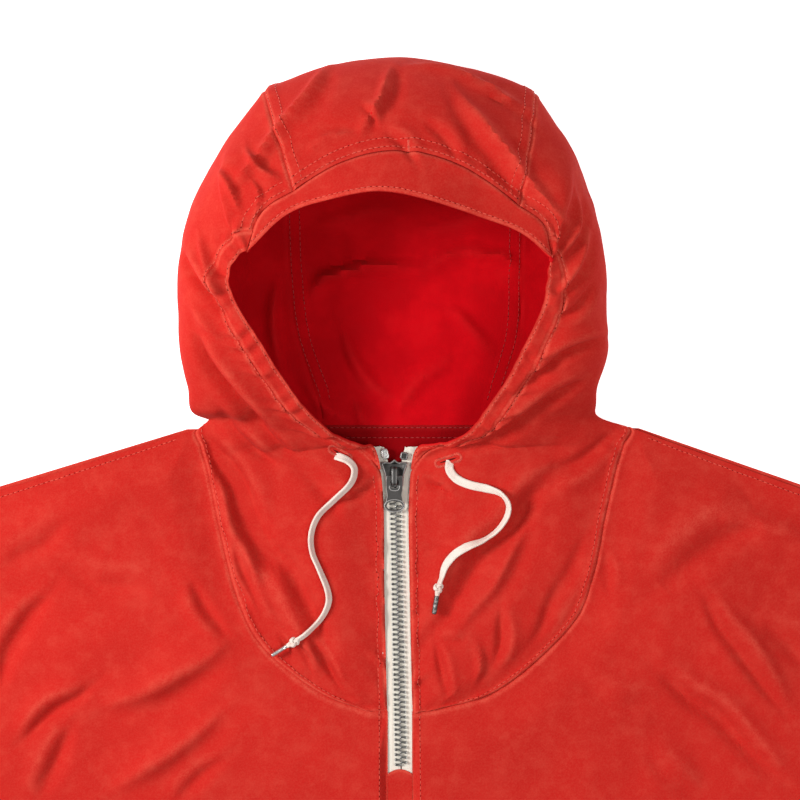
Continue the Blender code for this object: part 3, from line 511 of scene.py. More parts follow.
def centre_grid(left, right, across=104):
    grid = []
    for i, (mid_y, mid_z) in enumerate(smooth_rows(CENTRE, ROWS)):
        a, b = left[i, 0], right[i, 0]
        middle = np.array([(a[0] + b[0]) / 2, mid_y, max(mid_z, 0) + WALL / 2])
        top = 2 * middle - (a + b) / 2
        t = np.linspace(0, 1, 60)[:, None]
        curve = (1 - t) ** 2 * a + 2 * (1 - t) * t * top + t ** 2 * b
        grid.append(spaced(curve, np.linspace(0, 1, across + 1)))
    return np.array(grid)


def visor_grid(left_row, centre_row, right_row, across=26):
    """From the seam along the front of the hood to the free edge."""
    seam = np.vstack([left_row[::-1], centre_row[1:-1], right_row])
    along = arc(seam)
    free = spaced(smooth_rows(VISOR, 12) + [0, 0, WALL / 2], along / along[-1])
    shares = np.linspace(0, 1, across + 1)
    return np.array([[a + (b - a) * s for s in shares] for a, b in zip(seam, free)])


def lifted_by_folds(points):
    """The front with the part's largest folds in it."""
    lifted = points.copy()
    for x0, y0, x1, y1, half_width, height in FRONT_FOLDS:
        run = np.array([x1 - x0, y1 - y0])
        length = np.linalg.norm(run)
        away = points[..., :2] - [x0, y0]
        along = (away @ run) / length ** 2
        across = (away @ np.array([-run[1], run[0]])) / length
        fade = np.clip(1.15 - np.abs(2 * along - 1), 0, 1)
        lifted[..., 2] += height * fade * np.exp(-(across / half_width) ** 2)
    return lifted


# Rows of the front from a shoulder to the foot of the scoop seam, where the placket starts.
FRONT_TAIL = 152


def front_grid(left, right, across=96):
    """A fan from the scoop seam and the placket out to the shoulders, sides and hem."""
    halves = []
    tail = np.arange(LAST_ROW, LAST_ROW + 3.001, 1 / 18)[1:]
    for side, panel in ((-1, left), (1, right)):
        seam = panel[SHOULDER_ROW * ROWS:, 0]
        corner = panel[-1, -1]
        level = WALL / 2 + PLACKET_LIFT
        foot = [side * PLACKET_HALF, PLACKET_END, level]
        turns = np.array([seam[-1], corner, (corner + foot) / 2, foot, [0, PLACKET_END - 1, level]])
        marks = LAST_ROW + np.array([0, 1, 5 / 3, 7 / 3, 3])
        inner = np.vstack([seam, read_at(tail, marks, turns)])
        rows = np.concatenate([np.linspace(SHOULDER_ROW, LAST_ROW, len(seam)), tail])
        reach = np.array(FRONT_REACH, float) * [side, 1]
        known = np.arange(SHOULDER_ROW, SHOULDER_ROW + len(reach))
        outer = np.column_stack([read_at(rows, known, reach), np.full(len(rows), ON_BACK + WALL / 2)])
        wanted = np.concatenate([np.arange(SHOULDER_ROW, 15.5, 1 / 24),
                                 np.arange(15.5, LAST_ROW, 1 / 13),
                                 np.arange(LAST_ROW, LAST_ROW + 3.001, 1 / 18)])
        halves.append(tuple(read_at(wanted, rows, edge) for edge in (inner, outer)))
    inner = np.vstack([halves[0][0], halves[1][0][-2::-1]])
    outer = np.vstack([halves[0][1], halves[1][1][-2::-1]])
    shares = np.linspace(0, 1, across + 1)[None, :, None] ** 1.25
    fan = inner[:, None] * (1 - shares) + outer[:, None] * shares
    fan[:, 1:-1] = lifted_by_folds(fan[:, 1:-1])
    fan[..., 2] = np.maximum(fan[..., 2], ON_BACK + WALL / 2)
    return fan


def grid_normals(grid):
    """Area-weighted normals at a grid's points, not of unit length."""
    normals = np.zeros_like(grid)
    a, b, c, d = grid[:-1, :-1], grid[1:, :-1], grid[1:, 1:], grid[:-1, 1:]
    face = np.cross(c - a, d - b)
    for i, j in ((0, 0), (1, 0), (1, 1), (0, 1)):
        normals[i:i + len(face), j:j + face.shape[1]] += face
    return normals


def share_normals(grids):
    """Unit normals of all grids, averaged where their points meet at a seam."""
    places = np.vstack([grid.reshape(-1, 3) for grid in grids.values()])
    found = np.vstack([grid_normals(grid).reshape(-1, 3) for grid in grids.values()])
    _, index = np.unique(np.round(places, 2), axis=0, return_inverse=True)
    index = index.reshape(-1)
    total = np.column_stack([np.bincount(index, weights=found[:, k]) for k in range(3)])
    out = total[index]
    out = unit(out, 1e-9)
    lying = places[:, 2] < WALL / 2 + 0.02
    out[lying] = np.sign(out[lying, 2:3]) * [0, 0, 1]
    shared, start = {}, 0
    for name, grid in grids.items():
        count = grid.shape[0] * grid.shape[1]
        shared[name] = out[start:start + count].reshape(grid.shape)
        start += count
    return shared


# ---------------------------------------------------------------- creases and gathers


def creased(points, table):
    """(height, crest) at each point: how far the creases lift it, and how near it is to a crest."""
    plan = points[..., :2].reshape(-1, 2)
    height, crest = np.zeros(len(plan)), np.zeros(len(plan))
    share = np.linspace(0, 1, 61)
    for number, (x0, y0, xm, ym, x1, y1, width, size, lean) in enumerate(table):
        start, by, end = np.array([x0, y0]), np.array([xm, ym]), np.array([x1, y1])
        knee = 2 * by - (start + end) / 2
        t = share[:, None]
        line = (1 - t) ** 2 * start + 2 * (1 - t) * t * knee + t ** 2 * end
        run = np.gradient(line, axis=0)
        run = unit(run)
        side = np.column_stack([-run[:, 1], run[:, 0]])
        line = line + side * (line_noise(arc(line), 24, 300 + number) * width * 0.45)[:, None]
        low, high = line.min(axis=0) - 5 * width, line.max(axis=0) + 5 * width
        near = np.where(((plan > low) & (plan < high)).all(axis=1))[0]
        if not len(near):
            continue
        away = plan[near, None] - line[None]
        nearest = (away ** 2).sum(axis=2).argmin(axis=1)
        step = away[np.arange(len(near)), nearest]
        across = (step * side[nearest]).sum(axis=1)
        along = (step * run[nearest]).sum(axis=1)
        at = share[nearest]
        taper = np.sin(np.pi * np.clip(at, 0.0, 1.0)) ** 0.7
        taper = np.maximum(taper, 0.12) * np.exp(-(along / (1.6 * width)) ** 2)
        spread = width * (0.65 + 0.45 * taper)
        place = across / spread
        bank = 0.55 * hump(place, 1.55 * np.sign(lean), 0.75 + 0.5 * (1 - abs(lean)))
        profile = hump(place, 0, 0.62) - bank
        height[near] += size * taper * profile
        top = 0 if size > 0 else 1.5 * np.sign(lean)
        crest[near] = np.maximum(crest[near], hump(place, top, 0.34) * taper * min(1, abs(size) / 2.2))
    shape = points.shape[:-1]
    return height.reshape(shape), crest.reshape(shape)


def column_arcs(grid):
    """Distance run along each row of the grid, and along each column."""
    along_rows = np.zeros(grid.shape[:2])
    along_rows[:, 1:] = np.cumsum(np.linalg.norm(np.diff(grid, axis=1), axis=2), axis=1)
    along_columns = np.zeros(grid.shape[:2])
    along_columns[1:] = np.cumsum(np.linalg.norm(np.diff(grid, axis=0), axis=2), axis=0)
    return along_rows, along_columns


def edge_distance(grid, side):
    """(distance in from an edge, distance run along that edge) at each point."""
    along_rows, along_columns = column_arcs(grid)
    if side == "left":
        return along_rows, np.broadcast_to(along_columns[:, :1], along_rows.shape)
    if side == "right":
        return along_rows[:, -1:] - along_rows, np.broadcast_to(along_columns[:, -1:], along_rows.shape)
    if side == "start":
        return along_columns, np.broadcast_to(along_rows[:1], along_columns.shape)
    return along_columns[-1:] - along_columns, np.broadcast_to(along_rows[-1:], along_columns.shape)


def pucker(inward, along, seed, height, size, reach, slant=0.25):
    """Small folds that run in from a seam, uneven in length and depth."""
    place = along + slant * inward
    length = reach * (0.65 + 0.5 * line_noise(along, size * 1.7, seed + 1))
    fade = eased(inward, 0.2, 2.6) * np.exp(-(inward / np.maximum(length, 2)) ** 2)
    depth = 0.6 + 0.4 * line_noise(along, size * 3.1, seed + 2)
    return height * depth * line_noise(place, size, seed) * fade


# How each panel's edges are made. Columns: side, what is done there.
SEAM_DEPTH = 0.8
EDGES = {
    "hood_side_left": (("left", "felled"), ("right", "channel"), ("start", "visor"), ("end", "placket")),
    "hood_side_right": (("left", "felled"), ("right", "channel"), ("start", "visor"),
                        ("end", "placket")),
    "cord_channel_left": (("left", "channel"), ("right", "face")),
    "cord_channel_right": (("left", "channel"), ("right", "face")),
    "hood_centre": (("left", "felled"), ("right", "felled"), ("start", "visor")),
    "visor": (("left", "brim"), ("right", "free")),
    "body_front": (("left", "scoop"), ("right", "hem")),
}
GATHER_SIZE = 5.2
SWELL = 3.8              # how far the yoke and the front stand off the back, away from their edges
SEAM_TUCK = 1.4          # how far the front's top edge runs on beneath the yoke beside the zip
SEAM_EASE = (18, 30)     # distances from the zip between which that seam turns ordinary


def worked(name, grid, normals, cloth):
    """The panel's surface with every fold, gather and seam in it, and its wear."""
    seed = 11 * sorted(EDGES).index(name)
    lying = grid[..., 2] < WALL / 2 + 3.0
    under = lying & (normals[..., 2] < 0)
    upper = eased(normals[..., 2], -0.1, 0.35)
    height, crest = creased(grid, CREASES)
    height = height * upper * cloth.crease_depth
    crest = crest * upper
    height += (1.3 * soft_noise(grid, 52, 5) + 0.75 * soft_noise(grid, 24, 6)
               + 0.32 * soft_noise(grid, 10, 7))
    wear = np.clip(crest, 0, 1) * 0.42
    raised = np.zeros(grid.shape[:2])
    for number, (side, kind) in enumerate(EDGES[name]):
        inward, along = edge_distance(grid, side)
        code = seed + 3 * number
        ditch = SEAM_DEPTH
        if kind == "felled":
            centre = name == "hood_centre"
            raised += 0.55 * eased(inward, 0.1, 0.8) * (1 - eased(inward, 8.8, 9.8)) * centre
            raised += pucker(inward, along, code, 1.2 if centre else 0.9, 6.5, 9)
            raised -= 0.35 * (hump(inward, 1.7, 0.6) + hump(inward, 8.2, 0.6)) * centre
        elif kind == "channel":
            own = name.startswith("cord_channel")
            folds = cloth.gather_depth / MM * line_noise(along + 0.55 * inward, GATHER_SIZE, 71)
            if own:
                raised += 0.5 * hump(inward, 6.2, 4.6) + folds * 0.9 * hump(inward, 5.5, 6.0)
                raised -= 0.45 * hump(inward, 1.8, 0.7)
            else:
                gather = folds * eased(inward, 0.0, 1.5) * np.exp(-(inward / 9.0) ** 2)
                raised += 0.95 * gather
            ditch = 0.5
        elif kind == "face":
            raised -= 0.4 * hump(inward, 1.6, 0.6)
            ditch = 0.35
        elif kind == "visor":
            raised += 0.9 * (1 - eased(inward, 3.2, 5.0)) + pucker(inward, along, code, 1.1, 8, 10)
            raised -= 0.35 * (hump(inward, 2.4, 0.6) + hump(inward, 8.4, 0.6))
            ditch = 1.1
        elif kind == "brim":
            raised += pucker(inward, along, code, 0.8, 9, 8)
            ditch = 1.3
        elif kind == "free":
            raised -= 0.35 * hump(inward, 2.6, 0.6)
            raised += 0.25 * line_noise(along, 9, code) * np.exp(-inward / 5)
            ditch = 0.3
        elif kind == "scoop":
            raised += pucker(inward, along, code, 0.9, 9, 11)
            ditch = 1.0
        elif kind == "placket":
            ditch = 0.9
        if side == "left" and name.startswith("hood_side"):
            yoke = eased(np.arange(len(grid)) / ROWS, SHOULDER_ROW - 0.3, SHOULDER_ROW + 0.4)[:, None]
            roll = 0.8 * eased(inward, 0.0, 1.0) * (1 - eased(inward, 4.2, 6.5))
            roll -= 0.35 * hump(inward, 5.0, 0.7)
            raised += yoke * (roll + pucker(inward, along, code + 40, 1.7, 8.5, 16, 0.4))
        if kind in ("channel",) and name.startswith("hood_side"):
            beside = eased(np.arange(len(grid)) / ROWS, ZIP_ROW + 0.5, ZIP_ROW + 1)[:, None]
            raised += beside * (0.35 * (1 - eased(inward, 4.6, 5.6)) - 0.35 * hump(inward, 5.4, 0.6)
                                + pucker(inward - 4, along, code + 50, 0.9, 9, 9))
        drop = -ditch * hump(inward, 0, 0.9) + 0.25 * hump(inward, 2.6, 1.5)
        if side == "left" and (kind == "scoop" or name.startswith("hood_side")):
            drop = drop * eased(np.abs(grid[..., 0] - ZIP_TOP_X), *SEAM_EASE)
        raised += drop
        wear = np.maximum(wear, 0.85 * hump(inward, 1.3, 1.0))
    if name == "body_front":
        inward, along = edge_distance(grid, "left")
        rows = np.arange(len(grid))
        tail = np.minimum(rows, len(grid) - 1 - rows)
        beside = eased(tail, FRONT_TAIL + 18, FRONT_TAIL + 22)[:, None]
        raised += beside * (-0.35 * hump(inward, 5.4, 0.6)
                            + pucker(inward - 4, along, seed + 60, 0.9, 9, 9))
    if name == "body_front" or name.startswith("hood_side"):
        near = np.min([edge_distance(grid, side)[0]
                       for side in ("left", "right", "start", "end")], axis=0)
        swell = SWELL * eased(near, 3, 32) * upper
        if name.startswith("hood_side"):
            swell *= eased(np.arange(len(grid)) / ROWS, SHOULDER_ROW - 0.6, SHOULDER_ROW + 0.8)[:, None]
        raised += swell
    move = height + raised
    lift = np.abs(move) * 0.3 + np.maximum(move, 0) * 0.4
    back, back_crest = creased(grid, INSIDE_CREASES)
    inside = np.maximum(back * cloth.crease_depth, 0) + lift
    move = np.where(under, -inside, move)
    low = eased(grid[..., 2], WALL / 2 + 3.0, WALL / 2 + 14)
    move = np.where(under, move, np.where(normals[..., 2] < 0, move * low, move))
    surface = grid + normals * move[..., None]
    wear = np.where(under, np.maximum(0.5 * back_crest, 0.3 * wear), wear)
    if name == "body_front":
        out = grid[:, 0] - grid[:, 3]
        out = unit(out)
        beside_zip = 1 - eased(np.abs(grid[:, 0, 0] - ZIP_TOP_X), *SEAM_EASE)
        surface[:, 0] += out * (SEAM_TUCK * beside_zip)[:, None]
    floor = np.full(grid.shape[:2], WALL / 2 - 0.15)
    if name == "body_front":
        floor[:] = ON_BACK + 0.4
    elif name.startswith("hood_side"):
        floor[SHOULDER_ROW * ROWS:] = ON_BACK + 0.2
    above = (surface[..., 2] - floor) / 0.6
    eased_up = floor + 0.6 * np.log1p(np.exp(np.clip(above, -30, 8)))
    surface[..., 2] = np.where(above > 8, surface[..., 2], eased_up)
    return surface, np.clip(wear, 0, 1)


# ---------------------------------------------------------------- meshes


CUT = {}
TURNED = ("hood_side_right", "cord_channel_right", "hood_centre", "visor", "body_front")
SHELLS = {"cord_channel_left": 1.5, "cord_channel_right": 1.5, "visor": 1.1}


def cut_panels():
    """Every upper panel's worked surface, its normals and its wear, made once."""
    if CUT:
        return CUT
    cloth = bpy.context.scene.anorak_cloth
    left, channel_left = side_grids(HOOD_LEFT)
    right, channel_right = side_grids(HOOD_RIGHT)
    centre = centre_grid(left, right)
    grids = {
        "hood_side_left": left,
        "hood_side_right": right,
        "cord_channel_left": channel_left,
        "cord_channel_right": channel_right,
        "hood_centre": centre,
        "visor": visor_grid(np.vstack([left[0], channel_left[0][1:]]), centre[0],
                            np.vstack([right[0], channel_right[0][1:]])),
        "body_front": front_grid(left, right),
    }
    facing = {name: grid[:, ::-1] if name in TURNED else grid for name, grid in grids.items()}
    normals = share_normals(facing)
    for name, grid in grids.items():
        facing_out = normals[name][:, ::-1] if name in TURNED else normals[name]
        surface, wear = worked(name, grid, facing_out, cloth)
        CUT[name] = (surface, facing_out, wear)
    return CUT


def new_object(name, mesh):
    obj = bpy.data.objects.new(name, mesh)
    bpy.context.scene.collection.objects.link(obj)
    return obj


def outward(points, faces):
    """The faces of a closed shape, turned over if they point inwards."""
    points = np.asarray(points, float)
    points = points - points.mean(axis=0)
    volume = 0.0
    for corners in {len(face) for face in faces}:
        held = np.array([face for face in faces if len(face) == corners])
        for k in range(1, corners - 1):
            crossed = np.cross(points[held[:, k]], points[held[:, k + 1]])
            volume += float((points[held[:, 0]] * crossed).sum())
    return faces if volume > 0 else [face[::-1] for face in faces]


def mesh_of(name, points, faces, smooth_angle=50):
    """A mesh from points in the maker's frame."""
    mesh = bpy.data.meshes.new(name)
    mesh.from_pydata(metres(points).tolist(), [], outward(points, faces))
    mesh.validate()
    mesh.shade_smooth()
    mesh.set_sharp_from_angle(angle=math.radians(smooth_angle))
    return mesh


def add_values(mesh, name, values):
    held = mesh.attributes.new(name, "FLOAT", "POINT")
    held.data.foreach_set("value", np.asarray(values, np.float32).reshape(-1))


def add_uv(mesh, places):
    """A UV map in metres from one place for each point."""
    layer = mesh.uv_layers.new(name="cloth")
    corners = np.empty(len(mesh.loops), np.int64)
    mesh.loops.foreach_get("vertex_index", corners)
    layer.data.foreach_set("uv", np.asarray(places, np.float32)[corners].reshape(-1))


def quads(rows, columns, start=0, turned=False):
    """Faces of a grid of points."""
    i, j = np.meshgrid(np.arange(rows - 1), np.arange(columns - 1), indexing="ij")
    a = start + i * columns + j
    faces = np.stack([a, a + columns, a + columns + 1, a + 1], axis=-1).reshape(-1, 4)
    return (faces[:, ::-1] if turned else faces).tolist()


def rim_of(rows, columns):
    """The points round a grid's edge, in order."""
    return ([i * columns for i in range(rows)]
            + [(rows - 1) * columns + j for j in range(1, columns)]
            + [i * columns + columns - 1 for i in range(rows - 2, -1, -1)]
            + [j for j in range(columns - 2, 0, -1)])


def cloth_shell(name, surface, normals, wear, shell, plan=False):
    """A closed thin wall of cloth, with its wear, its inner face and its grain marked."""
    rows, columns = surface.shape[:2]
    outer = surface + normals * shell / 2
    inner = surface - normals * shell / 2
    count = rows * columns
    faces = [tuple(face) for face in quads(rows, columns) + quads(rows, columns, count, True)]
    rim = rim_of(rows, columns)
    for a, b in zip(rim, rim[1:] + rim[:1]):
        faces.append((b, a, a + count, b + count))
    mesh = mesh_of(name, np.vstack([outer.reshape(-1, 3), inner.reshape(-1, 3)]), faces)
    if len(mesh.vertices) != 2 * count:
        raise RuntimeError(name + " lost points")
    add_values(mesh, "wear", np.concatenate([wear.reshape(-1), 0.6 * wear.reshape(-1)]))
    add_values(mesh, "inside", np.concatenate([np.zeros(count), np.ones(count)]))
    if plan:
        grain = surface[..., :2]
    else:
        along_rows, along_columns = column_arcs(surface)
        grain = np.stack([along_rows, np.broadcast_to(along_columns[:, columns // 2:columns // 2 + 1],
                                                      along_rows.shape)], axis=-1)
    add_uv(mesh, np.tile(grain.reshape(-1, 2) * MM, (2, 1)))
    return new_object(name, mesh)


def finished(obj, material, body, slot, *nodes):
    """Gives a piece its material and body, and hides the named parts; its slot is not used."""
    if not obj.data.materials:
        obj.data.materials.append(material)
    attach(obj, body)
    if nodes:
        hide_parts(*nodes)
    return obj


# ---------------------------------------------------------------- stitches


def line_in(surface, normals, side, inset, first=0, last=None):
    """The line that runs this far in from a panel's edge, and the cloth's normals on it."""
    if side in ("start", "end"):
        surface, normals = surface.swapaxes(0, 1), normals.swapaxes(0, 1)
    if side in ("right", "end"):
        surface, normals = surface[:, ::-1], normals[:, ::-1]
    line, upright = [], []
    for points, directions in zip(surface[first:last], normals[first:last]):
        along = arc(points)
        if along[-1] > inset:
            line.append([np.interp(inset, along, points[:, k]) for k in range(3)])
            upright.append([np.interp(inset, along, directions[:, k]) for k in range(3)])
    return np.array(line), np.array(upright)


def stitched(line, upright, spacing, rise, seed, wander=0.12):
    """Place, heading and upright of each stitch along a line."""
    along = arc(line)
    count = max(int(along[-1] / spacing), 1)
    at = (np.arange(count) + 0.5) * spacing

    here = read_at(at, along, line)
    ahead = read_at(at + 0.4 * spacing, along, line) - read_at(at - 0.4 * spacing, along, line)
    ahead = unit(ahead, 1e-9)
    up = read_at(at, along, upright)
    up = unit(up, 1e-9)
    beside = np.cross(up, ahead)
    here = here + up * rise + beside * (wander * line_noise(at, spacing * 1.3, seed))[:, None]
    ahead = ahead + beside * (0.10 * line_noise(at, spacing * 0.9, seed + 1))[:, None]
    return here, ahead, up


def tree_node(tree, kind, settings, values):
    """One node: its settings first, then the values or links of its inputs."""
    made = tree.nodes.new(kind)
    for key, value in settings.items():
        setattr(made, key, value)
    for key, value in values.items():
        if isinstance(value, bpy.types.NodeSocket):
            tree.links.new(value, made.inputs[key])
        else:
            made.inputs[key].default_value = value
    return made


def repeating_tree():
    """Sets one small piece on every point, turned along its heading and upright."""
    tree = bpy.data.node_groups.get("Repeat along a line")
    if tree:
        return tree
    tree = bpy.data.node_groups.new("Repeat along a line", "GeometryNodeTree")
    sockets = (("Points", "NodeSocketGeometry"), ("Piece", "NodeSocketObject"),
               ("Length", "NodeSocketFloat"), ("Width", "NodeSocketFloat"),
               ("Height", "NodeSocketFloat"), ("Unevenness", "NodeSocketFloat"),
               ("Seed", "NodeSocketInt"), ("Finish", "NodeSocketMaterial"))
    for name, kind in sockets:
        tree.interface.new_socket(name, in_out="INPUT", socket_type=kind)
    tree.interface.new_socket("Pieces", in_out="OUTPUT", socket_type="NodeSocketGeometry")
    inputs = tree.nodes.new("NodeGroupInput").outputs
    piece = tree_node(tree, "GeometryNodeObjectInfo", {}, {"Object": inputs["Piece"]})
    heading = tree_node(tree, "GeometryNodeInputNamedAttribute", {"data_type": "FLOAT_VECTOR"},
                        {"Name": "heading"})
    upright = tree_node(tree, "GeometryNodeInputNamedAttribute", {"data_type": "FLOAT_VECTOR"},
                        {"Name": "upright"})
    turn = tree_node(tree, "FunctionNodeAxesToRotation", {"primary_axis": "X", "secondary_axis": "Z"},
                     {0: heading.outputs["Attribute"], 1: upright.outputs["Attribute"]})
    size = tree_node(tree, "ShaderNodeCombineXYZ", {},
                     {"X": inputs["Length"], "Y": inputs["Width"], "Z": inputs["Height"]})
    low = tree_node(tree, "ShaderNodeMath", {"operation": "SUBTRACT"}, {0: 1.0, 1: inputs["Unevenness"]})
    vary = tree_node(tree, "FunctionNodeRandomValue", {"data_type": "FLOAT"}, {"Seed": inputs["Seed"]})
    tree.links.new(low.outputs[0], vary.inputs[2])
    vary.inputs[3].default_value = 1.0
    scaled = tree_node(tree, "ShaderNodeVectorMath", {"operation": "SCALE"},
                       {0: size.outputs[0], "Scale": vary.outputs[1]})
    placed = tree_node(tree, "GeometryNodeInstanceOnPoints", {},
                       {"Points": inputs["Points"], "Instance": piece.outputs["Geometry"],
                        "Rotation": turn.outputs[0], "Scale": scaled.outputs[0]})
    real = tree_node(tree, "GeometryNodeRealizeInstances", {}, {0: placed.outputs[0]})
    painted = tree_node(tree, "GeometryNodeSetMaterial", {},
                        {"Geometry": real.outputs[0], "Material": inputs["Finish"]})
    tree_node(tree, "NodeGroupOutput", {}, {"Pieces": painted.outputs[0]})
    return tree


def repeat_pieces(name, places, piece, sizes, material, unevenness=0.12, seed=4):
    """A plain mesh of one small piece repeated at (points, headings, uprights)."""
    here, ahead, up = (np.vstack([group[k] for group in places]) for k in range(3))
    mesh = bpy.data.meshes.new(name)
    mesh.from_pydata(metres(here).tolist(), [], [])
    for label, values in (("heading", ahead), ("upright", up)):
        held = mesh.attributes.new(label, "FLOAT_VECTOR", "POINT")
        held.data.foreach_set("vector", np.asarray(values, np.float32).reshape(-1))
    points = new_object(name + "_points", mesh)
    tree = repeating_tree()
    modifier = points.modifiers.new("repeat", "NODES")
    modifier.node_group = tree
    given = {"Piece": piece, "Length": sizes[0], "Width": sizes[1], "Height": sizes[2],
             "Unevenness": unevenness, "Seed": seed, "Finish": material}
    for item in tree.interface.items_tree:
        if item.in_out == "INPUT" and item.name in given:
            modifier[item.identifier] = given[item.name]
    graph = bpy.context.evaluated_depsgraph_get()
    made = bpy.data.meshes.new_from_object(points.evaluated_get(graph))
    made.name = name
    bpy.data.objects.remove(points)
    if not made.polygons:
        raise RuntimeError(name + " came out empty")
    return new_object(name, made)


def small_piece(name, rings, smooth_angle=60):
    """A closed small shape, in units of its own size, from rings of (x, y, z) points."""
    count = len(rings[0])
    points = [p for ring in rings for p in ring]
    faces = []
    for i in range(len(rings) - 1):
        for k in range(count):
            a, b = i * count + k, i * count + (k + 1) % count
            faces.append((a, b, b + count, a + count))
    faces.append(tuple(reversed(range(count))))
    faces.append(tuple(range((len(rings) - 1) * count, len(rings) * count)))
    mesh = bpy.data.meshes.new(name)
    mesh.from_pydata(points, [], outward(points, faces))
    mesh.shade_smooth()
    mesh.set_sharp_from_angle(angle=math.radians(smooth_angle))
    obj = new_object(name, mesh)
    obj.hide_render = True
    return obj


def thread_piece():
    """One stitch, a unit long: a rounded grain of thread along X."""
    turns = round_turn(5)
    rings = [[(x, radius * math.cos(t), radius * math.sin(t)) for t in turns]
             for x, radius in ((-0.5, 0.2), (-0.32, 0.48), (0.32, 0.48), (0.5, 0.2))]
    piece = small_piece("thread", rings)
    add_values(piece.data, "wear", [1.0] * len(piece.data.vertices))
    return piece


def needle_hole():
    """Painted shade: the dimple between two stitches, as a flat dark lens."""
    turns = round_turn(6)
    rings = [[(0.5 * scale * math.cos(t), 0.5 * scale * math.sin(t), z) for t in turns]
             for scale, z in ((0.9, -0.5), (1.0, 0.2), (0.7, 0.5))]
    piece = small_piece("needle_hole", rings)
    add_values(piece.data, "wear", [0.0] * len(piece.data.vertices))
    return piece


# ---------------------------------------------------------------- materials


class Wire:
    """A shader value. Arithmetic on it adds Math nodes."""

    def __init__(self, finish, socket):
        self.finish = finish
        self.socket = socket

    def sum_of(self, operation, first, second):
        return self.finish.node("ShaderNodeMath", {"operation": operation}, {0: first, 1: second})

    def __add__(self, other):
        return self.sum_of("ADD", self, other)

    def __radd__(self, other):
        return self.sum_of("ADD", other, self)

    def __sub__(self, other):
        return self.sum_of("SUBTRACT", self, other)

    def __rsub__(self, other):
        return self.sum_of("SUBTRACT", other, self)

    def __mul__(self, other):
        return self.sum_of("MULTIPLY", self, other)

    def __rmul__(self, other):
        return self.sum_of("MULTIPLY", other, self)

    def wave(self):
        """Its sine, from 0 to 1."""
        return self.finish.node("ShaderNodeMath", {"operation": "SINE"}, {0: self}) * 0.5 + 0.5

    def clipped(self):
        return self.finish.node("ShaderNodeMath", {"operation": "ADD", "use_clamp": True},
                                {0: self, 1: 0.0})


class Finish:
    """One material, made from nodes."""

    def __init__(self, name, **constants):
        self.material = bpy.data.materials.new(name)
        self.material.use_nodes = True
        self.nodes = self.material.node_tree.nodes
        self.links = self.material.node_tree.links
        self.shader = self.nodes["Principled BSDF"]
        for key, value in constants.items():
            self.shader.inputs[key.replace("_", " ")].default_value = value

    def node(self, kind, settings=None, values=None, output=0):
        """Any node: its settings first, then the values or links of its inputs."""
        made = self.nodes.new(kind)
        for key, value in (settings or {}).items():
            setattr(made, key, value)
        for key, value in (values or {}).items():
            if isinstance(value, Wire):
                self.links.new(value.socket, made.inputs[key])
            else:
                made.inputs[key].default_value = value
        return Wire(self, made.outputs[output])

    def place(self):
        return self.node("ShaderNodeTexCoord", output="Object")

    def attribute(self, name):
        return self.node("ShaderNodeAttribute", {"attribute_name": name}, output="Fac")

    def grain(self):
        """The two directions of the piece's own map."""
        held = self.node("ShaderNodeUVMap", {"uv_map": "cloth"})
        apart = self.node("ShaderNodeSeparateXYZ", {}, {0: held})
        return apart, Wire(self, apart.socket.node.outputs[1])

    def noise(self, scale, detail=2.0, rough=0.5, stretch=None):
        place = self.place()
        if stretch:
            place = self.node("ShaderNodeMapping", {}, {"Vector": place, "Scale": stretch})
        return self.node("ShaderNodeTexNoise", {},
                         {"Vector": place, "Scale": scale, "Detail": detail, "Roughness": rough})

    def spread(self, value, low, high, bottom=0.0, top=1.0):
        """The value between low and high, stretched to run from bottom to top."""
        return self.node("ShaderNodeMapRange", {"interpolation_type": "SMOOTHSTEP"},
                         {"Value": value, "From Min": low, "From Max": high, "To Min": bottom,
                          "To Max": top})

    def blend(self, share, first, second):
        """A colour between two colours."""
        values = {}
        for key, value in ((0, share), (6, first), (7, second)):
            values[key] = (*value, 1) if isinstance(value, (tuple, list)) else value
        return self.node("ShaderNodeMix", {"data_type": "RGBA"}, values, output=2)

    def bump(self, height, distance, strength=1.0, normal=None):
        values = {"Height": height, "Distance": distance, "Strength": strength}
        if normal:
            values["Normal"] = normal
        return self.node("ShaderNodeBump", {}, values)

    def feed(self, name, value):
        self.links.new(value.socket, self.shader.inputs[name])


def colour_of(values, gain=1.0):
    return tuple(min(1.0, gain * channel) for channel in values)


def made_once(name):
    """The material is made when it is first asked for, and found by its name after that."""
    def wrap(build):
        return lambda: bpy.data.materials.get(name) or build(name)
    return wrap


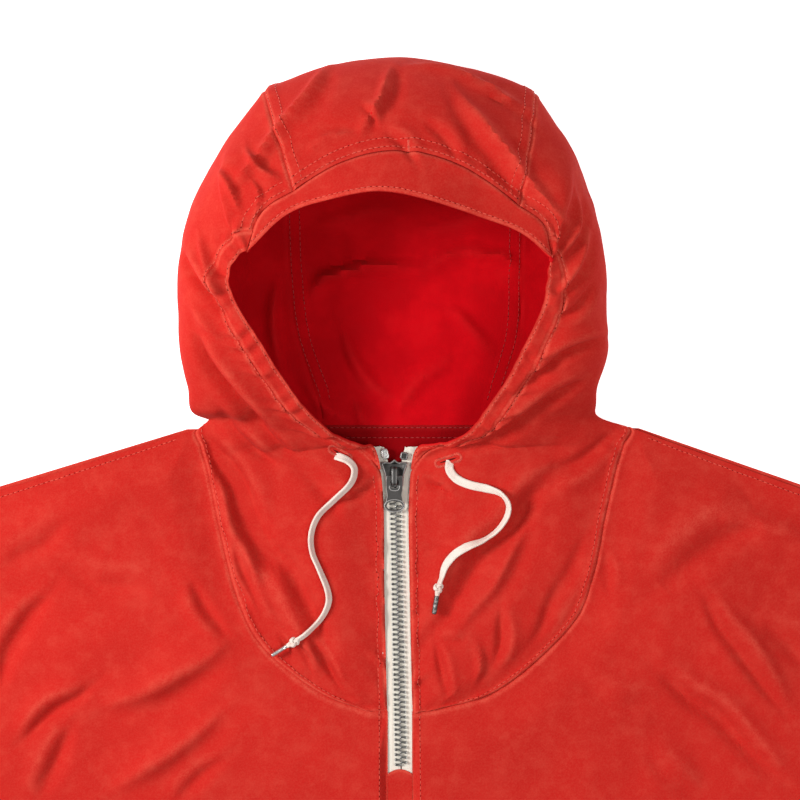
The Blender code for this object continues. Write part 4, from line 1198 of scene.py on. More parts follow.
@made_once("garment_dyed_cotton")
def cloth_finish(name):
    """Garment-dyed cotton: plain weave, soft fading, pale wear, a deeper inner face, and a painted shadow
    on the inner face under the hood.
    """
    cloth = bpy.context.scene.anorak_cloth
    finish = Finish(name, Sheen_Weight=0.03, Sheen_Roughness=0.45,
                    Sheen_Tint=(1.0, 0.52, 0.44, 1), Specular_IOR_Level=0.06)
    broad = finish.noise(7.0, 3.0, 0.55)
    patch = finish.noise(26.0, 4.0, 0.6)
    mottle = finish.noise(95.0, 5.0, 0.62)
    fleck = finish.noise(900.0, 3.0, 0.7)
    inside = finish.attribute("inside").clipped()
    outer = finish.blend(finish.spread(broad, 0.35, 0.66), colour_of(cloth.colour, 0.93),
                         colour_of(cloth.colour, 1.03))
    outer = finish.blend(finish.spread(mottle, 0.42, 0.72, 0.0, 0.13), outer, tuple(cloth.worn))
    outer = finish.blend(finish.spread(patch, 0.50, 0.78, 0.0, 0.07), outer, tuple(cloth.worn))
    inner = finish.blend(finish.spread(patch, 0.40, 0.70), colour_of(cloth.inside, 0.88),
                         colour_of(cloth.inside, 1.1))
    inner = finish.blend(finish.spread(mottle * 0.5 + patch * 0.5, 0.50, 0.68, 0.0, 0.22), inner,
                         (0.52, 0.010, 0.012))
    # Painted shadow: an "inside" mark above 1, on the back under the hood, darkens the inner colour towards
    # a quarter of itself.
    neck = (finish.attribute("inside") - 1).clipped()
    inner = finish.blend(neck, inner, colour_of(cloth.inside, 0.25))
    base = finish.blend(inside, outer, inner)
    rub = finish.spread(mottle * 0.45 + fleck * 0.55, 0.36, 0.62)
    wear = finish.attribute("wear") * cloth.wear * (rub * 0.75 + 0.25)
    worn = finish.blend(inside, tuple(cloth.worn), (0.56, 0.022, 0.020))
    base = finish.blend(wear.clipped(), base, worn)
    base = finish.blend(finish.spread(fleck, 0.34, 0.72, 0.0, 0.15) * (1 - inside), base,
                        colour_of(cloth.worn, 0.95))
    finish.feed("Base Color", base)
    finish.feed("Roughness", finish.spread(mottle, 0.3, 0.7, 0.80, 0.92))
    across, along = finish.grain()
    thread = 2 * math.pi / (0.42 * MM)
    weave = (across * thread).wave() * (along * (thread * 1.15)).wave()
    fine = finish.bump(weave * 0.6 + fleck * 0.6, 0.05 * MM, 0.6)
    soft = finish.bump(finish.noise(150.0, 5.0, 0.6), 0.7 * MM, 0.35, fine)
    finish.feed("Normal", soft)
    return finish.material


def thread_finish(inner=False):
    name = "inside_thread" if inner else "sewing_thread"
    found = bpy.data.materials.get(name)
    if found:
        return found
    stitching = bpy.context.scene.anorak_stitching
    colour = tuple(stitching.inside_colour if inner else stitching.colour)
    finish = Finish(name, Sheen_Weight=0.1, Specular_IOR_Level=0.25)
    tone = finish.noise(420.0, 3.0, 0.6)
    finish.feed("Base Color", finish.blend(finish.spread(tone, 0.35, 0.65), colour_of(colour, 0.72),
                                           colour))
    finish.feed("Roughness", finish.spread(tone, 0.3, 0.7, 0.62, 0.80))
    finish.feed("Normal", finish.bump(finish.noise(2600.0, 2.0, 0.5, (1, 1, 1)), 0.06 * MM, 0.7))
    return finish.material


@made_once("buttonhole_slit")
def painted_shade_finish(name):
    """Painted shade: the near-black colour of a buttonhole's slit and of the dimples between stitches."""
    finish = Finish(name, Specular_IOR_Level=0.1)
    tone = finish.noise(800.0, 2.0)
    finish.feed("Base Color", finish.blend(tone, (0.05, 0.003, 0.003), (0.13, 0.008, 0.006)))
    finish.feed("Roughness", finish.spread(tone, 0.3, 0.7, 0.85, 0.95))
    return finish.material


@made_once("zip_tape_cotton")
def tape_finish(name):
    """Cream cotton zip tape in a fine upright rib, with a faint reddish line beside the teeth."""
    hardware = bpy.context.scene.anorak_hardware
    finish = Finish(name, Sheen_Weight=0.12, Specular_IOR_Level=0.2)
    across, along = finish.grain()
    rib = (across * (2 * math.pi / (0.9 * MM))).wave()
    twill = ((across + along * 0.7) * (2 * math.pi / (0.55 * MM))).wave()
    tone = finish.noise(70.0, 4.0, 0.6)
    base = finish.blend(finish.spread(tone, 0.4, 0.7, 0.0, 0.35), tuple(hardware.tape_colour),
                        colour_of(hardware.tape_colour, 0.88))
    base = finish.blend((1 - rib) * 0.22, base, colour_of(hardware.tape_colour, 0.72))
    base = finish.blend(finish.attribute("wear") * 0.5, base, (0.80, 0.42, 0.33))
    finish.feed("Base Color", base)
    finish.feed("Roughness", finish.spread(tone, 0.3, 0.7, 0.78, 0.9))
    finish.feed("Normal", finish.bump(rib * 0.7 + twill * 0.3, 0.16 * MM, 0.9))
    return finish.material


@made_once("drawcord_cotton")
def cord_finish(name):
    """Flat woven cotton cord: red dye in random patches and in its weave's hollows, and painted shade on
    its side edges and in its knot.
    """
    hardware = bpy.context.scene.anorak_hardware
    finish = Finish(name, Sheen_Weight=0.15, Specular_IOR_Level=0.2)
    around, along = finish.grain()
    turn = 2 * math.pi / (1.3 * MM)
    ply = ((around + along * 0.8) * turn).wave() * ((around - along * 0.8) * turn).wave()
    rib = (around * (2 * math.pi / (0.8 * MM))).wave()
    tone = finish.noise(60.0, 4.0, 0.6)
    dye = finish.spread(tone, 0.46, 0.70, 0.0, 0.45)
    base = finish.blend(dye, tuple(hardware.cord_colour), tuple(hardware.dye_and_painted_shade))
    base = finish.blend((1 - ply) * 0.14, base, tuple(hardware.dye_and_painted_shade))
    # Painted shade: the cord's side edges and the knot's middle, marked as "wear", take the red colour.
    base = finish.blend(finish.attribute("wear") * 0.55, base, tuple(hardware.dye_and_painted_shade))
    finish.feed("Base Color", base)
    finish.feed("Roughness", finish.spread(tone, 0.3, 0.7, 0.80, 0.92))
    finish.feed("Normal", finish.bump(ply * 0.6 + rib * 0.4, 0.22 * MM, 0.9))
    return finish.material


def metal_finish(name, colour, bright, roughness):
    """Plated metal: darker in its hollows, rubbed bright on its rims."""
    found = bpy.data.materials.get(name)
    if found:
        return found
    finish = Finish(name, Metallic=0.85)
    tone = finish.noise(300.0, 5.0, 0.65)
    speck = finish.noise(1700.0, 3.0, 0.7)
    rub = finish.attribute("wear") * (speck * 0.5 + 0.6)
    base = finish.blend(finish.spread(tone, 0.4, 0.7, 0.0, 0.5), colour, colour_of(colour, 0.62))
    base = finish.blend(rub.clipped(), base, bright)
    finish.feed("Base Color", base)
    finish.feed("Roughness", finish.spread(tone * 0.6 + speck * 0.4, 0.35, 0.65, roughness - 0.08,
                                           roughness + 0.14))
    finish.feed("Normal", finish.bump(speck, 0.04 * MM, 0.5))
    return finish.material


def aged_metal():
    return metal_finish("antique_nickel", tuple(bpy.context.scene.anorak_hardware.metal_colour),
                        (0.50, 0.48, 0.46), 0.46)


def tooth_metal():
    return metal_finish("aged_zip_teeth", (0.035, 0.032, 0.030), (0.75, 0.73, 0.69), 0.34)


def bright_metal():
    return metal_finish("bright_nickel", (0.56, 0.55, 0.53), (0.85, 0.84, 0.82), 0.24)


# ---------------------------------------------------------------- pieces


SLEEVE_CREASES = (
    # Left sleeve; the right one mirrors it.
    (-330, -70, -352, -130, -350, -196, 9, -2.6, 0.6),
    (-372, -110, -398, -158, -392, -222, 8, 2.6, -0.6),
    (-430, -150, -452, -200, -430, -262, 9, -3.0, 0.7),
    (-470, -176, -500, -232, -484, -292, 7, 2.6, 0.6),
    (-508, -206, -530, -262, -512, -322, 8, -2.8, 0.6),
    (-556, -244, -574, -296, -556, -352, 7, 2.4, -0.6),
    (-610, -290, -624, -340, -606, -386, 7, -2.2, 0.5),
    (-660, -330, -668, -372, -652, -420, 6, 2.0, 0.5),
    (-420, -230, -500, -270, -560, -330, 8, -2.0, 0.5),
    (-340, -220, -380, -236, -430, -280, 8, 2.0, 0.5),
)
BACK_TOP = ((-290, -49), (-138, -2.6), (-130, -2.6), (-90, -2.2), (-51, 0.6), (0, 0.8), (64, 0.6),
            (104, -1.2), (147, -2.0), (155, -2.0), (290, -49))


# Where the hood covers the back, and how its inner face is marked there: 1 is the plain inner
# face, and what is above 1 darkens it as a painted shadow under the hood.
HOOD_MIDDLE_X = 8
HOOD_HALF = (130, 136)
PAINTED_NECK_SHADOW = 1.7


def grid_area(grid):
    a, b, c, d = grid[:-1, :-1], grid[1:, :-1], grid[1:, 1:], grid[:-1, 1:]
    face = np.linalg.norm(np.cross(c - a, d - b), axis=2) / 2
    return float(face.sum())


def declare_sheet(grid):
    """Measures the cloth's arcs and area, and keeps neither."""
    along_rows, along_columns = column_arcs(grid)
    grid_area(grid) * MM * MM


def panel_piece(name, plan=False):
    surface, normals, wear = cut_panels()[name]
    shell = SHELLS.get(name, SHELL)
    obj = cloth_shell(name + "_cloth", surface, normals, wear, shell, plan)
    finished(obj, cloth_finish(), "garment", "shell_cotton", name)
    declare_sheet(surface)
    return obj


def settled(surface, normals, height, floor):
    """The surface raised along its normals, and kept above the floor."""
    surface = surface + normals * height[..., None]
    surface[..., 2] = np.maximum(surface[..., 2], floor)
    return surface


def back_panel():
    """The back lies flat: only its edges show past the front."""
    columns, rows = 150, 130
    top = np.array(BACK_TOP, float)
    top = spaced(top, np.linspace(0, 1, columns + 1))
    hem = np.array([(-HEM_CORNER[0], HEM_CORNER[1]), (-190, -699), (0, HEM_MIDDLE), (190, -699),
                    HEM_CORNER], float)
    hem = spaced(hem, np.linspace(0, 1, columns + 1))
    shares = np.linspace(0, 1, rows + 1)[:, None, None]
    plan = top[None] * (1 - shares) + hem[None] * shares
    grid = np.concatenate([plan, np.full((*plan.shape[:2], 1), WALL / 2 - 0.2)], axis=2)
    normals = np.zeros_like(grid)
    normals[..., 2] = 1
    lift = 0.45 * np.clip(soft_noise(grid, 60, 9) + 0.4 * soft_noise(grid, 20, 10), 0, 1)
    wear = np.zeros(grid.shape[:2])
    for side in ("left", "right", "start", "end"):
        wear = np.maximum(wear, 0.8 * hump(edge_distance(grid, side)[0], 0.8, 1.2))
    surface = settled(grid, normals, lift, WALL / 2 - 0.35)
    obj = cloth_shell("body_back_cloth", surface, normals, wear, SHELL, plan=True)
    inner = obj.data.attributes["inside"].data
    # Painted shadow: within the hood's width the upper face takes the inner colour, darkened by the share
    # above 1.
    facing = PAINTED_NECK_SHADOW * (1 - eased(np.abs(grid[..., 0] - HOOD_MIDDLE_X), *HOOD_HALF).reshape(-1))
    values = np.concatenate([facing, np.zeros(len(facing))])
    inner.foreach_set("value", values.astype(np.float32))
    finished(obj, cloth_finish(), "garment", "shell_cotton", "body_back")
    declare_sheet(grid)
    return surface, normals


def sleeve_surface(side):
    """(surface, normals, wear) of a sleeve laid flat, its rows running from armhole to cuff."""
    rows, around = 124, 96
    run = np.array([math.cos(SLEEVE_DROP), -math.sin(SLEEVE_DROP)])
    top_end = np.array(SHOULDER) + run * SLEEVE_LENGTH
    slant = SLEEVE_DROP + CUFF_TURN
    under_end = top_end - CUFF_WIDTH * np.array([math.sin(slant), math.cos(slant)])
    turn = np.linspace(0, 2 * math.pi, around + 1)
    # From the top fold over the upper layer to the under fold, and back beneath.
    share_across = (1 - np.cos(turn)) / 2
    half = SLEEVE_HEIGHT / 2 - SHELL / 2
    rise = np.sign(np.sin(turn)) * np.abs(np.sin(turn)) ** 0.35 * half
    grid = []
    for share in np.linspace(0, 1, rows + 1):
        bow = math.sin(math.pi * share)
        top = np.array(SHOULDER) + (top_end - SHOULDER) * share + [0, SLEEVE_BOW[0] * bow]
        under = np.array(UNDERARM) + (under_end - UNDERARM) * share + [0, SLEEVE_BOW[1] * bow]
        inset = (under - top) / np.linalg.norm(under - top) * SHELL / 2
        top, under = top + inset, under - inset
        plan = top + (under - top) * share_across[:, None]
        grid.append(np.column_stack([plan[:, 0] * side, plan[:, 1], SLEEVE_HEIGHT / 2 + rise]))
    grid = np.array(grid)
    normals = grid_normals(grid)
    normals[:, 0] = normals[:, -1] = normals[:, 0] + normals[:, -1]
    normals /= np.linalg.norm(normals, axis=2, keepdims=True)
    if normals[len(normals) // 2, around // 4, 2] < 0:
        normals = -normals
    mirrored = grid * [-side, 1, 1]
    height, crest = creased(mirrored, SLEEVE_CREASES)
    upper = eased(normals[..., 2], 0.1, 0.5)
    inward, along = edge_distance(grid, "start")
    cuff, _ = edge_distance(grid, "end")
    # The right sleeve's creases are shallower and its own soft bumps differ.
    height = height * upper * (1.1 if side < 0 else 0.85)
    height += 0.6 * upper * (soft_noise(grid, 52, 15) + 0.4 * soft_noise(grid, 18, 16))
    height += upper * (pucker(inward, along, 90 + side, 0.9, 11, 22)
                       + pucker(cuff, along, 95 + side, 0.6, 8, 26))
    height += 0.4 * (1 - eased(cuff, 26, 27.5)) - 0.35 * hump(cuff, 26, 0.8)
    height -= 0.6 * hump(inward, 0, 1.0)
    wear = np.maximum(crest * upper * 0.42, 0.8 * hump(cuff, 0.8, 1.2))
    wear = np.maximum(wear, 0.45 * hump(normals[..., 2], 0, 0.35))
    surface = settled(grid, normals, height, SHELL / 2 + 0.05)
    surface[:, -1] = surface[:, 0]
    return surface, normals, wear


def build_sleeve(side):
    """One sleeve: an open tube of cloth, laid flat."""
    word = "left" if side < 0 else "right"
    surface, normals, wear = sleeve_surface(side)
    rows, columns = surface.shape[:2]
    columns -= 1
    outer, inner = surface + normals * SHELL / 2, surface - normals * SHELL / 2
    points = np.vstack([outer[:, :-1].reshape(-1, 3), inner[:, :-1].reshape(-1, 3)])
    count = rows * columns
    faces = []
    for i in range(rows - 1):
        for j in range(columns):
            a, b = i * columns + j, i * columns + (j + 1) % columns
            face = (a, a + columns, b + columns, b)
            faces += [face, tuple(k + count for k in face[::-1])]
    last = (rows - 1) * columns
    for j in range(columns):
        after = (j + 1) % columns
        faces.append((j, after, after + count, j + count))
        faces.append((last + after, last + j, last + j + count, last + after + count))
    mesh = mesh_of("sleeve_" + word, points, faces)
    held = wear[:, :-1].reshape(-1)
    add_values(mesh, "wear", np.concatenate([held, 0.5 * held]))
    add_values(mesh, "inside", np.concatenate([np.zeros(count), np.ones(count)]))
    add_uv(mesh, np.tile(surface[:, :-1, :2].reshape(-1, 2) * MM, (2, 1)))
    obj = new_object("sleeve_%s_cloth" % word, mesh)
    finished(obj, cloth_finish(), "garment", "shell_cotton", "sleeve_" + word)
    declare_sheet(surface)
    return surface, normals


def cloth_top():
    """A tree of the finished upper surfaces, for what lies on them."""
    if "tree" in CUT:
        return CUT["tree"]
    points, faces = [], []
    for name in ("hood_side_left", "hood_side_right", "cord_channel_left", "cord_channel_right",
                 "body_front"):
        surface, normals, _ = cut_panels()[name]
        start = len(points)
        points += (surface + normals * SHELLS.get(name, SHELL) / 2).reshape(-1, 3).tolist()
        faces += quads(*surface.shape[:2], start)
    CUT["tree"] = BVHTree.FromPolygons(points, faces)
    return CUT["tree"]


def cloth_at(x, y):
    """(height, upward normal) of the cloth's top at a place."""
    place, normal, _, _ = cloth_top().ray_cast(Vector((x, y, 300)), Vector((0, 0, -1)))
    if place is None:
        return SHELL, np.array([0.0, 0.0, 1.0])
    normal = np.array(normal)
    return place.z, normal if normal[2] > 0 else -normal


def highest(x, y, reach):
    """The cloth's top within reach of a place."""
    turns = np.linspace(0, 2 * math.pi, 8, endpoint=False)
    return max([cloth_at(x, y)[0]] + [cloth_at(x + reach * math.cos(t), y + reach * math.sin(t))[0]
                                      for t in turns])


def ring_faces(rings, count, closed=False):
    """Faces round a row of rings: closed on itself, or capped at both ends."""
    faces = []
    for i in range(rings if closed else rings - 1):
        for k in range(count):
            a, b = i * count + k, i * count + (k + 1) % count
            step = (i + 1) % rings * count - i * count
            faces.append((a, b, b + step, a + step))
    if not closed:
        faces.append(tuple(reversed(range(count))))
        faces.append(tuple(range((rings - 1) * count, rings * count)))
    return faces


def tube(name, path, sections):
    """A mesh round a path. Each section is its points about the path, in space."""
    count = sections.shape[1]
    points = (path[:, None] + sections).reshape(-1, 3)
    mesh = mesh_of(name, points, ring_faces(len(path), count))
    round_section = arc(np.vstack([sections[0], sections[0][:1]]))[:-1]
    grain = np.stack([np.broadcast_to(round_section, (len(path), count)),
                      np.broadcast_to(arc(path)[:, None], (len(path), count))], axis=-1)
    add_uv(mesh, grain.reshape(-1, 2) * MM)
    return mesh


def frames_along(path, upright):
    """(heading, side, up) at each point of a path."""
    ahead = np.gradient(path, axis=0)
    ahead = unit(ahead)
    beside = np.cross(upright, ahead)
    beside = unit(beside)
    return ahead, beside, np.cross(ahead, beside)


def build_knot(word, middle, heading, tip_start):
    """An overhand knot in the cord, and the cord's end that runs on into its metal tip."""
    turn = round_turn(96)
    shape = np.column_stack([np.sin(turn) + 2 * np.sin(2 * turn), np.cos(turn) - 2 * np.cos(2 * turn),
                             -1.6 * np.sin(3 * turn)]) / 3 * [2.9, 2.35, 2.1]
    ahead = np.array([math.cos(heading), math.sin(heading), 0])
    beside = np.array([-ahead[1], ahead[0], 0])
    line = middle + shape[:, :1] * ahead + shape[:, 1:2] * beside + shape[:, 2:] * [0, 0, 1]
    run = np.roll(line, -1, axis=0) - np.roll(line, 1, axis=0)
    run = unit(run)
    away = line - middle
    away -= run * (away * run).sum(axis=1, keepdims=True)
    away /= np.maximum(np.linalg.norm(away, axis=1, keepdims=True), 1e-6)
    across = np.cross(run, away)
    angle = round_turn(12)
    loops = (line[:, None] + across[:, None] * (1.75 * np.cos(angle))[None, :, None]
             + away[:, None] * (0.95 * np.sin(angle))[None, :, None]).reshape(-1, 3)
    # Painted shade: the knot's turns darken towards its middle, through the "wear" mark and the cord's red
    # colour.
    shade = np.clip(0.75 - np.linalg.norm(loops - middle, axis=1) / 5.2, 0, 1)
    shares = np.linspace(0, 1, 12)
    run = (tip_start - middle) / np.linalg.norm(tip_start - middle)
    side = np.cross([0, 0, 1], run)
    side /= np.linalg.norm(side)
    up = np.cross(run, side)
    end = [middle + (tip_start - middle) * share
           + side * ((2.4 - 1.2 * share) * np.cos(angle))[:, None]
           + up * ((1.7 - 0.6 * share) * np.sin(angle))[:, None] for share in shares]
    count = len(angle)
    knot = join_shapes("cord_knot_%s_tied" % word, [
        (loops, ring_faces(len(line), count, closed=True), shade),
        (np.vstack(end), ring_faces(len(end), count), [0.1] * count * len(end)),
    ], 50)
    lengthwise = np.concatenate([np.repeat(arc(line), count), np.repeat(shares * 5, count)])
    round_it = np.tile(angle * 1.4, len(line) + len(end))
    add_uv(knot.data, np.column_stack([round_it, lengthwise]) * MM)
    return finished(knot, cord_finish(), "garment", "cord_cotton", "cord_knot_" + word)


def build_aglet(side, start, heading):
    """A rolled metal tip, crimped onto the cord."""
    word = "left" if side < 0 else "right"
    radius = 1.25 if side < 0 else 1.55
    length = 12.5
    along = np.linspace(0, length, 60)
    angle = round_turn(24)
    height = np.array([highest(*(start[:2] + heading[:2] * a), radius) for a in along])
    z = height.max() + radius + 0.15
    line = np.column_stack([start[0] + heading[0] * along, start[1] + heading[1] * along,
                            np.full(len(along), z)])
    ahead = np.array([heading[0], heading[1], 0])
    beside = np.array([-heading[1], heading[0], 0])
    up = np.array([0, 0, 1.0])
    ends = np.sqrt(np.clip(1 - (np.clip(np.abs(along - length / 2) - (length / 2 - 0.9), 0, 1) / 0.95)
                           ** 2, 0.2, 1))
    profile = radius * ends[:, None] * np.ones(len(angle))[None]
    dents = ((3.2, 1.2), (6.2, 1.9), (9.4, 1.2)) if side > 0 else ((2.2, 1.57),)
    shade = 0.25 + 0.5 * (1 - ends)[:, None] * np.ones(len(angle))[None]
    for place, turn in dents:
        reach = np.exp(-((along[:, None] - place) / 0.7) ** 2 - ((angle[None] - turn) / 0.45) ** 2)
        profile -= 0.42 * reach
        shade += 0.9 * np.exp(-((along[:, None] - place - 0.7) / 0.5) ** 2
                              - ((angle[None] - turn) / 0.5) ** 2)
    profile -= 0.25 * np.exp(-((angle[None] - 0.6) / 0.10) ** 2)
    section = (profile[..., None] * np.cos(angle)[None, :, None] * beside
               + profile[..., None] * np.sin(angle)[None, :, None] * up)
    mesh = tube("aglet_" + word, line, section)
    add_values(mesh, "wear", np.clip(shade, 0, 1))
    obj = new_object("aglet_%s_tip" % word, mesh)
    material = bright_metal() if side < 0 else aged_metal()
    return finished(obj, material, "garment", "tip_metal" if side < 0 else "slider_metal",
                    "aglet_" + word)


def build_drawcord(side, route):
    """A flat cord that leaves its buttonhole and lies on the yoke, turning as it goes."""
    hardware = bpy.context.scene.anorak_hardware
    word = "left" if side < 0 else "right"
    path = smooth_rows(route[:-1], 12)
    path = np.column_stack([path, np.zeros(len(path))])
    path = spaced(path, np.linspace(0, 1, 170))
    share = np.linspace(0, 1, len(path))
    width, thick = hardware.cord_width / MM, hardware.cord_thickness / MM
    turns = np.array(CORD_TURNS[side])
    shown = np.interp(share, turns[:, 0], turns[:, 1])
    roll = np.arccos(np.clip((shown - 0.3) / 0.7, 0, 1)) * side
    half_height = np.sqrt((width / 2 * np.sin(roll)) ** 2 + (thick / 2 * np.cos(roll)) ** 2)
    for point, lift in zip(path, half_height):
        point[2] = max(cloth_at(point[0] + dx, point[1] + dy)[0]
                       for dx, dy in ((0, 0), (1.2, 0), (-1.2, 0), (0, 1.2), (0, -1.2))) + lift
    for _ in range(14):
        path[1:-1, 2] = np.maximum(path[1:-1, 2], (path[:-2, 2] + path[2:, 2]) / 2)
    path[:, 2] += 0.05
    knot_middle = path[-1].copy()
    knot_middle[2] = highest(*knot_middle[:2], 2.4) + 2.75
    ease = eased(arc(path), 0.0, 5.0)
    path[:, 2] = (path[:, 2] - 2.4) * (1 - ease) + path[:, 2] * ease
    ending = eased(arc(path), arc(path)[-1] - 8, arc(path)[-1])
    path[:, 2] = path[:, 2] * (1 - ending) + knot_middle[2] * ending
    incoming = path[-1] - path[-8]
    keep = np.linalg.norm(path[:, :2] - knot_middle[:2], axis=1) > 1.6
    path, roll, shown = path[keep], roll[keep], shown[keep]
    ahead, beside, up = frames_along(path, np.array([0, 0, 1.0]))
    angle = round_turn(24)
    flat = np.sign(np.cos(angle)) * np.abs(np.cos(angle)) ** 0.75 * width / 2
    tall = np.sign(np.sin(angle)) * np.abs(np.sin(angle)) ** 0.8 * thick / 2
    tall = tall * (1 - 0.28 * hump(np.cos(angle), 0, 0.35))
    narrowing = 1 - 0.25 * hump(np.linspace(0, 1, len(path)), 1, 0.05)
    across = beside * np.cos(roll)[:, None] + up * np.sin(roll)[:, None]
    over = np.cross(ahead, across)
    section = (across[:, None] * flat[None, :, None] * narrowing[:, None, None]
               + over[:, None] * tall[None, :, None])
    mesh = tube("drawcord_" + word, path, section)
    # Painted shade, reddened by the cloth beside it: the cord's side edges are marked to take the red
    # colour.
    edge = np.clip(np.abs(np.cos(angle)) - 0.72, 0, 1) * 1.6
    add_values(mesh, "wear", np.tile(edge, len(path)))
    cord = new_object("drawcord_%s_tape" % word, mesh)
    finished(cord, cord_finish(), "garment", "cord_cotton", "drawcord_" + word)
    tip = np.array([*route[-1], 0.0])
    heading = tip[:2] - knot_middle[:2]
    heading /= np.linalg.norm(heading)
    start = knot_middle[:2] + heading * 4.9
    aglet = build_aglet(side, start, heading)
    tip_z = float(np.mean([corner[2] for corner in aglet.bound_box])) / MM
    knot = build_knot(word, knot_middle, math.atan2(incoming[1], incoming[0]),
                      np.array([*(start + heading * 0.8), tip_z]))


def plate(outline, levels, location, turn=0.0):
    """A closed solid from an outline and its levels: (how far in, height, how rubbed)."""
    outline = np.array(outline, float)
    x, y = outline.T
    if (x * np.roll(y, -1) - np.roll(x, -1) * y).sum() < 0:
        outline = outline[::-1]
    ahead = np.roll(outline, -1, axis=0) - outline
    ahead = unit(ahead)
    both = ahead + np.roll(ahead, 1, axis=0)
    inward = np.column_stack([-both[:, 1], both[:, 0]])
    inward /= np.maximum((inward ** 2).sum(axis=1, keepdims=True), 0.6) / 2
    spin = np.array([[math.cos(turn), math.sin(turn)], [-math.sin(turn), math.cos(turn)]])
    rings = [np.column_stack([(outline + inward * inset) @ spin, np.full(len(outline), height)])
             for inset, height, rub in levels]
    rubbed = np.repeat([rub for inset, height, rub in levels], len(outline))
    return np.vstack(rings) + location, ring_faces(len(levels), len(outline)), rubbed


def join_shapes(name, shapes, smooth_angle=35):
    """One mesh from several closed shapes of (points, faces, rubbed)."""
    points, faces, rubbed = [], [], []
    for shape_points, shape_faces, shape_rub in shapes:
        start = sum(len(p) for p in points)
        points.append(np.asarray(shape_points, float))
        turned = outward(shape_points, shape_faces)
        faces += [tuple(int(k) + start for k in face) for face in turned]
        rubbed += list(shape_rub)
    mesh = mesh_of(name, np.vstack(points), faces, smooth_angle)
    add_values(mesh, "wear", rubbed)
    return new_object(name, mesh)


def round_bar(path, half_width, half_height, rub, across):
    """A closed bar with rounded corners along a path. across is its width's direction."""
    path = np.array(path, float)
    ahead = np.gradient(path, axis=0)
    ahead = unit(ahead, 1e-9)
    across = np.array(across, float)
    up = np.cross(ahead, across)
    angle = round_turn(16) + 0.01
    wide = np.sign(np.cos(angle)) * np.abs(np.cos(angle)) ** 0.4 * half_width
    tall = np.sign(np.sin(angle)) * np.abs(np.sin(angle)) ** 0.4 * half_height
    points = (path[:, None] + across * wide[:, None] + up[:, None] * tall[None, :, None])
    corner = np.minimum(np.abs(np.cos(angle)), np.abs(np.sin(angle))) * 1.4 * rub
    return points.reshape(-1, 3), ring_faces(len(path), len(angle)), np.tile(corner, len(path))


def zip_x(y):
    """The zip's middle line."""
    share = (y - ZIP_TOP) / (ZIP_END - ZIP_TOP)
    return ZIP_TOP_X + share * (ZIP_END_X - ZIP_TOP_X)


def tooth_piece(height):
    """One tooth: a foot clamped on the tape's edge, a neck and a rounded head along +X."""
    outline = [(-2.3, 0.55), (-2.0, 0.85), (-1.2, 0.85), (-0.4, 0.55), (0.7, 0.52), (1.2, 0.78), (1.8, 0.7),
               (2.1, 0.3)]
    outline = outline + [(x, -y) for x, y in outline[::-1]]
    outline = np.array(outline[::-1])
    rings = [[(x, y, z) for x, y in outline * scale]
             for scale, z in ((1.0, 0.0), (1.0, 0.72 * height), (0.94, 0.92 * height),
                              (0.72, height))]
    piece = small_piece("tooth", [[(x, y, z) for x, y, z in ring] for ring in rings], 40)
    count = len(outline)
    add_values(piece.data, "wear", [0.0] * count + [0.1] * count + [1.0] * count + [0.1] * count)
    return piece


def level_grid(left_edge, right_edge, rows, columns, height):
    """A level grid between two edges that run down the zip, with upright normals."""
    left, right = (spaced(np.array(edge, float), np.linspace(0, 1, rows))
                   for edge in (left_edge, right_edge))
    shares = np.linspace(0, 1, columns)[None, :, None]
    plan = left[:, None] * (1 - shares) + right[:, None] * shares
    grid = np.concatenate([plan, np.full((rows, columns, 1), float(height))], axis=2)
    normals = np.zeros_like(grid)
    normals[..., 2] = 1
    return grid, normals


def build_tape(side):
    """One zip tape, which flares away from the zip above the slider."""
    word = "left" if side < 0 else "right"
    marks = (ZIP_TOP, SLIDER_END, ZIP_END)
    inner = [(zip_x(y) + side * reach, y)
             for y, reach in zip(marks, (TAPE_FLARE, TAPE_SPLIT, TAPE_SPLIT))]
    outer = [(zip_x(y) + side * reach, y)
             for y, reach in zip(marks, (TAPE_REACH[0], TAPE_REACH[1], TAPE_REACH[1]))]
    edges = (outer, inner) if side < 0 else (inner, outer)
    grid, normals = level_grid(*edges, 200, 22, TAPE_Z + TAPE / 2)
    grid[..., 2] += 0.10 * soft_noise(grid, 14, 51) + 0.05 * soft_noise(grid, 4, 52)
    grid[0, :, 1] += 0.5 * line_noise(grid[0, :, 0], 1.4, 53 + side)
    # A faint reddish line on the tape, 5.2 mm from the zip's middle, just past the teeth.
    wear = 0.35 * hump(np.abs(grid[..., 0] - zip_x(grid[..., 1])), 5.2, 0.4)
    obj = cloth_shell("zip_tape_" + word + "_woven", grid, normals, wear, 0.7, plan=True)
    return finished(obj, tape_finish(), "garment", "zip_tape", "zip_tape_" + word)


def build_underlay():
    """The cloth behind the placket below the zip's end."""
    half = PLACKET_HALF - 0.35
    grid, normals = level_grid(((-half, ZIP_END), (-half, PLACKET_END + 1)),
                               ((half, ZIP_END), (half, PLACKET_END + 1)), 60, 22, CHAIN_Z + 0.6)
    crown = np.minimum(3 * (1 - (grid[0, :, 0] / half) ** 2), 3.6)
    grid[..., 1] += crown[None] * np.linspace(1, 0, 60)[:, None] ** 3
    grid[..., 2] += 0.35 * soft_noise(grid, 9, 55) - 0.3 * hump(grid[..., 1], ZIP_END - 2.5, 1.2)
    wear = 0.8 * hump(grid[..., 1], ZIP_END + crown[None] - 0.6, 1.0)
    obj = cloth_shell("zip_underlay_cloth", grid, normals, wear, 0.9, plan=True)
    finished(obj, cloth_finish(), "garment", "shell_cotton", "zip_underlay")
    declare_sheet(grid)


